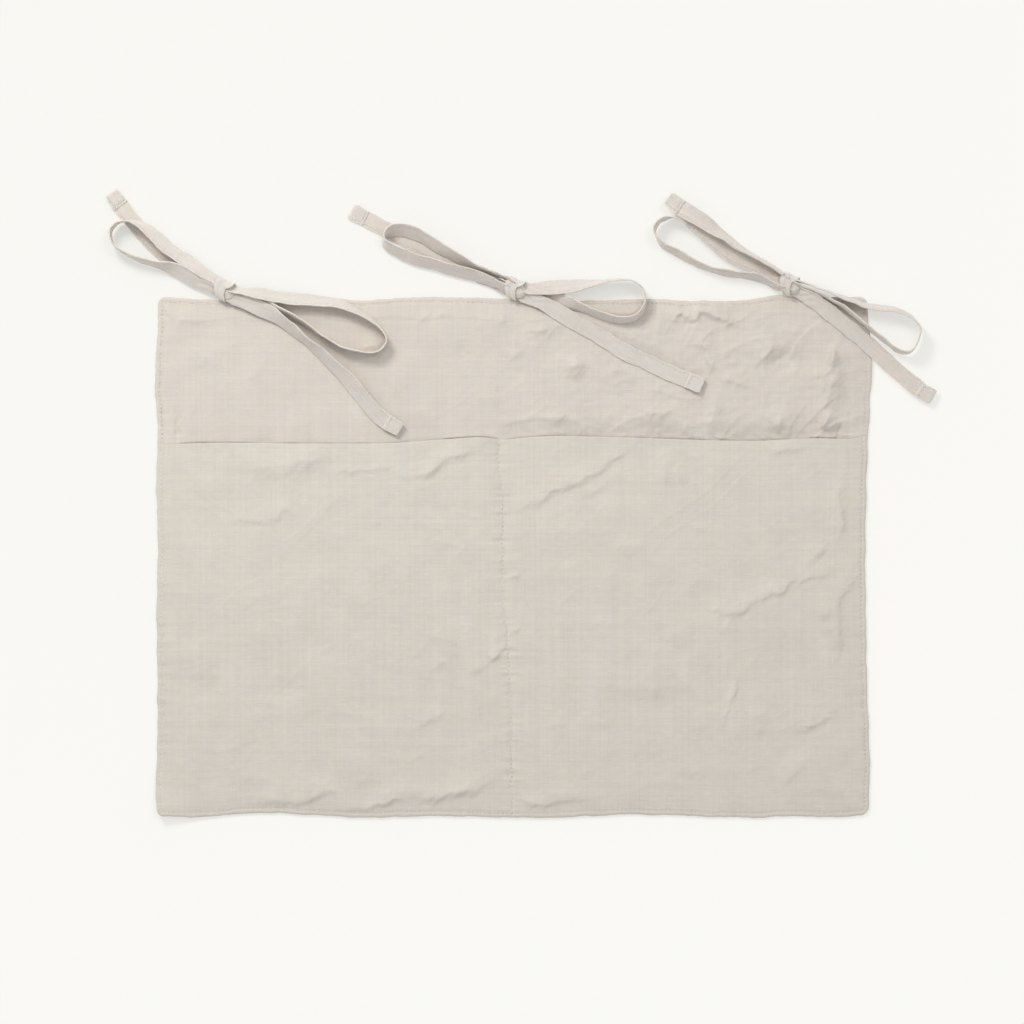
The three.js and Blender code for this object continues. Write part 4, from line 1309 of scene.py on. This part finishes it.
class CADDY_OT_topstitching(bpy.types.Operator):
    """Lay the stitches of the edges and the divider"""

    bl_idname = "caddy.topstitching"
    bl_label = "Topstitching"

    def execute(self, context):
        unit = stitch_unit()
        pitch = stitch().pitch
        lift = STITCH_LIFT * stitch().thread
        step = 0.8 * MM
        for name, up, shape in (("header", 1, header_top), ("pocket", -1, pocket_top)):
            s, t = self.round_edge(up, step)
            matrices = stitches_along(*surface_path(shape, s, t, lift), pitch)
            under, normal = surface_path(back_under, s, t, 0)
            matrices += stitches_along(under + [0, 0, 0.12 * MM], -normal, pitch, 0.5)
            self.sew(f"{name}_topstitches", unit, matrices, f"{name}_topstitch")
        t = np.arange(PANEL_LOW.y + stitch().inset, MOUTH_Y - 1 * MM, step)
        seam = surface_path(pocket_top, divider_x(t), t, lift)
        self.sew("divider_stitches", unit, stitches_along(*seam, pitch), "divider_stitch")
        bpy.data.meshes.remove(unit)
        return {"FINISHED"}

    def round_edge(self, up, step):
        """Flat-cloth places along the stitching, from one end of the mouth round the edge to the other:
        round the header where up is 1, and round the pockets where it is -1."""
        x = PANEL_HIGH.x - stitch().inset
        y = PANEL_HIGH.y - stitch().inset
        corner = 4 * MM
        points = [(-x, MOUTH_Y + up * MM), (-x, up * (y - corner)), (-x + corner, up * y),
                  (x - corner, up * y), (x, up * (y - corner)), (x, MOUTH_Y + up * MM)]
        found = [np.array(points[0])[None]]
        for a, b in zip(points[:-1], points[1:]):
            count = max(int(math.dist(a, b) / step), 1)
            found.append(np.linspace(a, b, count + 1)[1:])
        return np.vstack(found).T

    def sew(self, name, unit, matrices, node):
        mesh = repeated(name, unit, matrices)
        finish_piece(add_object(name, mesh), ROOT, sewing_thread(), [node])


class CADDY_OT_bows(bpy.types.Operator):
    """Make the loops and tails of the three bows"""

    bl_idname = "caddy.bows"
    bl_label = "Bows"

    def execute(self, context):
        seed = 100
        for name in TIES:
            for side in ("outer", "inner"):
                seed += 20
                self.half_bow(name, side, seed)
        return {"FINISHED"}

    def half_bow(self, name, side, seed):
        loop, tail = half_stations(name, side)
        tail, upper = fold_under(tail)
        hem_start = upper["run"][-1] - tape().hem

        def hem_groove(stations, v):
            """The dent that the row of stitches across the hem pulls in."""
            away = stations["run"][:, None] - hem_start - HEM_ROW * MM
            return -0.28 * MM * bell(away, 0.7 * MM) * (1 - 0.5 * v * v)

        rows = [(f"{name}_{side}_loop", loop, seed, None),
                (f"{name}_{side}_tail", tail, seed + 10, hem_groove)]
        for node, stations, number, extra in rows:
            piece = tape_piece(f"{node}_tape", stations, number, extra)
            finish_piece(piece, None, tape_linen(), [node])
            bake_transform(piece)
        matrices = [*self.seam_stitches(loop, seed), *self.seam_stitches(upper, seed + 10),
                    *self.hem_stitches(upper, hem_start)]
        unit = stitch_unit()
        mesh = repeated(f"{name}_{side}_tape_stitches", unit, matrices)
        bpy.data.meshes.remove(unit)
        sewn = add_object(mesh.name, mesh)
        finish_piece(sewn, None, sewing_thread(), [f"{name}_{side}_tail_stitch"])
        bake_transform(sewn)

    def seam_stitches(self, stations, seed):
        """Stitches along the seam that closes the folded tape, near one of its edges."""
        relief = tape_relief(stations, np.array([[TAPE_SEAM]]), seed)[:, 0]
        lift = relief + tape().thickness / 2 + 0.05 * stitch().thread
        path = stations["at"] + stations["across"] * (stations["width"] * TAPE_SEAM / 2)[:, None]
        path = path + stations["face"] * lift[:, None]
        kept = stations["gap"] > 3 * MM
        return stitches_along(path[kept], stations["face"][kept], 2.9 * MM)

    def hem_stitches(self, stations, hem_start):
        """A short row across the tape that holds its folded end."""
        at = hem_start + HEM_ROW * MM
        run = stations["run"]
        pick = {key: np.array([np.interp(at, run, stations[key][:, i]) for i in range(3)])
                for key in ("at", "across", "face")}
        width = float(np.interp(at, run, stations["width"]))
        v = np.linspace(-0.84, 0.84, 9)
        path = pick["at"] + pick["across"] * (v * width / 2)[:, None]
        path = path + pick["face"] * (tape().thickness / 2 - 0.12 * MM)
        return stitches_along(path, np.repeat(pick["face"][None], len(v), 0), 2.6 * MM)


class CADDY_OT_knots(bpy.types.Operator):
    """Make the three knots and the tape roots that carry them"""

    bl_idname = "caddy.knots"
    bl_label = "Knots"

    def execute(self, context):
        for number, name in enumerate(TIES):
            self.knot(name, 300 + 20 * number)
            self.root(name, 400 + 20 * number)
        return {"FINISHED"}

    def axis(self, name):
        """Directions of a knot: along the bow, across it and up; its middle and half its height."""
        low, high = KNOT_BOXES[name]
        along, across = turned((TIES[name]["outer"]["heading"] + TIES[name]["inner"]["heading"] + 180) / 2)
        return along, across, np.array([0, 0, 1.0]), np.array((low + high) / 2), (high.z - low.z) / 2

    def knot(self, name, seed):
        """The gathered bundle inside the knot, and the tape wrapped once over it."""
        along, across, up, middle, half_height = self.axis(name)
        reach = BUNDLE_REACH * MM
        height = half_height - 1.6 * MM
        bm = bmesh.new()
        bmesh.ops.create_uvsphere(bm, u_segments=36, v_segments=16, radius=1)
        mesh = mesh_of(bm, f"{name}_knot_tape")
        co = vertex_places(mesh)
        angle = np.arctan2(co[:, 1], co[:, 0])
        pleats = 1 + 0.08 * np.cos(angle * 6 + 2.5 * co[:, 2] + seed)
        place = (middle + along * (co[:, 2] * reach)[:, None]
                 + across * (co[:, 0] * pleats * BUNDLE_RADIUS * MM)[:, None]
                 + up * (co[:, 1] * pleats * height)[:, None])
        mesh.vertices.foreach_set("co", place.ravel())
        add_flat_uv(mesh, co[:, 2] * reach, angle * BUNDLE_RADIUS * MM)
        shade_smooth(mesh)
        piece = add_object(mesh.name, mesh)
        finish_piece(piece, ROOT, tape_linen(), [f"{name}_knot"])
        self.wrap(name, seed)

    def wrap(self, name, seed):
        """The tape's last turn: round the knot's outer half, to end over the inner half's tapes."""
        along, across, up, middle, half_height = self.axis(name)
        steps = 60
        outline = curve_points(WRAP_OUTLINE, 12)
        angle = np.radians(np.linspace(WRAP_OUTLINE[0][0], WRAP_OUTLINE[-1][0], steps))
        inner_edge, outer_edge = (
            np.interp(np.degrees(angle), outline[:, 0], outline[:, k]) * MM for k in (1, 2))
        slant = -(inner_edge + outer_edge) / 2
        path = (middle + along * slant[:, None] + across * (np.cos(angle) * 7.4 * MM)[:, None]
                + up * (np.sin(angle) * (half_height - 0.75 * MM))[:, None])
        outward = unit_rows(
            across * np.cos(angle)[:, None] * half_height + up * np.sin(angle)[:, None] * 7.9 * MM)
        direction = unit_rows(np.gradient(path, axis=0))
        side = np.cross(outward, direction)
        stations = {"at": path, "along": direction, "across": side, "face": outward,
                    "width": inner_edge - outer_edge, "gap": np.full(steps, 60 * MM), "run": run_length(path)}
        inner = -np.sign(np.dot(side[steps // 2], along))

        def folds(stations, v):
            """Drawn in on the outer side, lifted as a lip on the inner side, with two soft folds."""
            towards = v * inner
            drawn = -1.5 * MM * np.maximum(-towards, 0) ** 2.5 + 0.35 * MM * np.maximum(towards, 0) ** 3
            turns = stations["run"][:, None] / stations["run"][-1]
            pleat = bell(towards + 0.15 - 0.9 * (turns - 0.5), 0.16)
            soft = 0.18 * MM * np.cos(v * 4.2 + 7 * turns + seed) * np.sin(turns * math.pi)
            return drawn + soft - 0.45 * MM * pleat

        piece = tape_piece(f"{name}_knot_wrap", stations, seed + 5, folds)
        finish_piece(piece, ROOT, tape_linen())

    def root(self, name, seed):
        """The tape's root, from inside the top seam up into the knot."""
        low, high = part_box(f"{name}_tie_stem")
        knot_low, knot_high = KNOT_BOXES[name]
        x = (low.x + high.x) / 2
        end_y = (knot_low.y + knot_high.y) / 2
        rows = [(x, low.y, 1.45 * MM), (x, PANEL_HIGH.y, 1.5 * MM), (x, PANEL_HIGH.y + 2 * MM, 1.9 * MM),
                (x, end_y, 3.6 * MM)]
        path = curve_points(rows, 6)
        direction = unit_rows(np.gradient(path, axis=0))
        count = len(path)
        across = np.repeat([[-1.0, 0, 0]], count, 0)
        stations = {"at": path, "along": direction, "across": across, "face": np.cross(direction, across),
                    "width": np.full(count, tape().width * 0.94), "gap": np.full(count, 40 * MM),
                    "run": run_length(path)}
        piece = tape_piece(f"{name}_root_tape", stations, seed)
        piece.modifiers["Thickness"].thickness = 0.42 * MM
        finish_piece(piece, ROOT, tape_linen(), [f"{name}_tie_stem"])


class CADDY_PT_panel(bpy.types.Panel):
    """Steps that build the caddy"""

    bl_label = "Bedside caddy"
    bl_idname = "CADDY_PT_panel"
    bl_space_type = "VIEW_3D"
    bl_region_type = "UI"
    bl_category = "Caddy"

    def draw(self, context):
        for operator in OPERATORS:
            self.layout.operator(operator.bl_idname)
        for group in (context.scene.caddy_cloth, context.scene.caddy_tape, context.scene.caddy_stitch,
                      context.scene.caddy_stage):
            box = self.layout.box()
            for name in group.bl_rna.properties.keys():
                if name not in ("rna_type", "name"):
                    box.prop(group, name)


SETTINGS = {
    "caddy_cloth": CaddyClothSettings,
    "caddy_tape": CaddyTapeSettings,
    "caddy_stitch": CaddyStitchSettings,
    "caddy_stage": CaddyStageSettings,
}
OPERATORS = (
    CADDY_OT_stage, CADDY_OT_panels, CADDY_OT_pockets, CADDY_OT_topstitching, CADDY_OT_bows, CADDY_OT_knots)


def register():
    for item in (*SETTINGS.values(), *OPERATORS, CADDY_PT_panel):
        bpy.utils.register_class(item)
    for name, group in SETTINGS.items():
        setattr(bpy.types.Scene, name, bpy.props.PointerProperty(type=group))


def unregister():
    for name in SETTINGS:
        delattr(bpy.types.Scene, name)
    for item in reversed((*SETTINGS.values(), *OPERATORS, CADDY_PT_panel)):
        bpy.utils.unregister_class(item)


def main():
    register()
    bpy.ops.caddy.stage()
    bpy.ops.caddy.panels()
    bpy.ops.caddy.pockets()
    bpy.ops.caddy.topstitching()
    bpy.ops.caddy.bows()
    bpy.ops.caddy.knots()


if __name__ == "__main__":
    main()
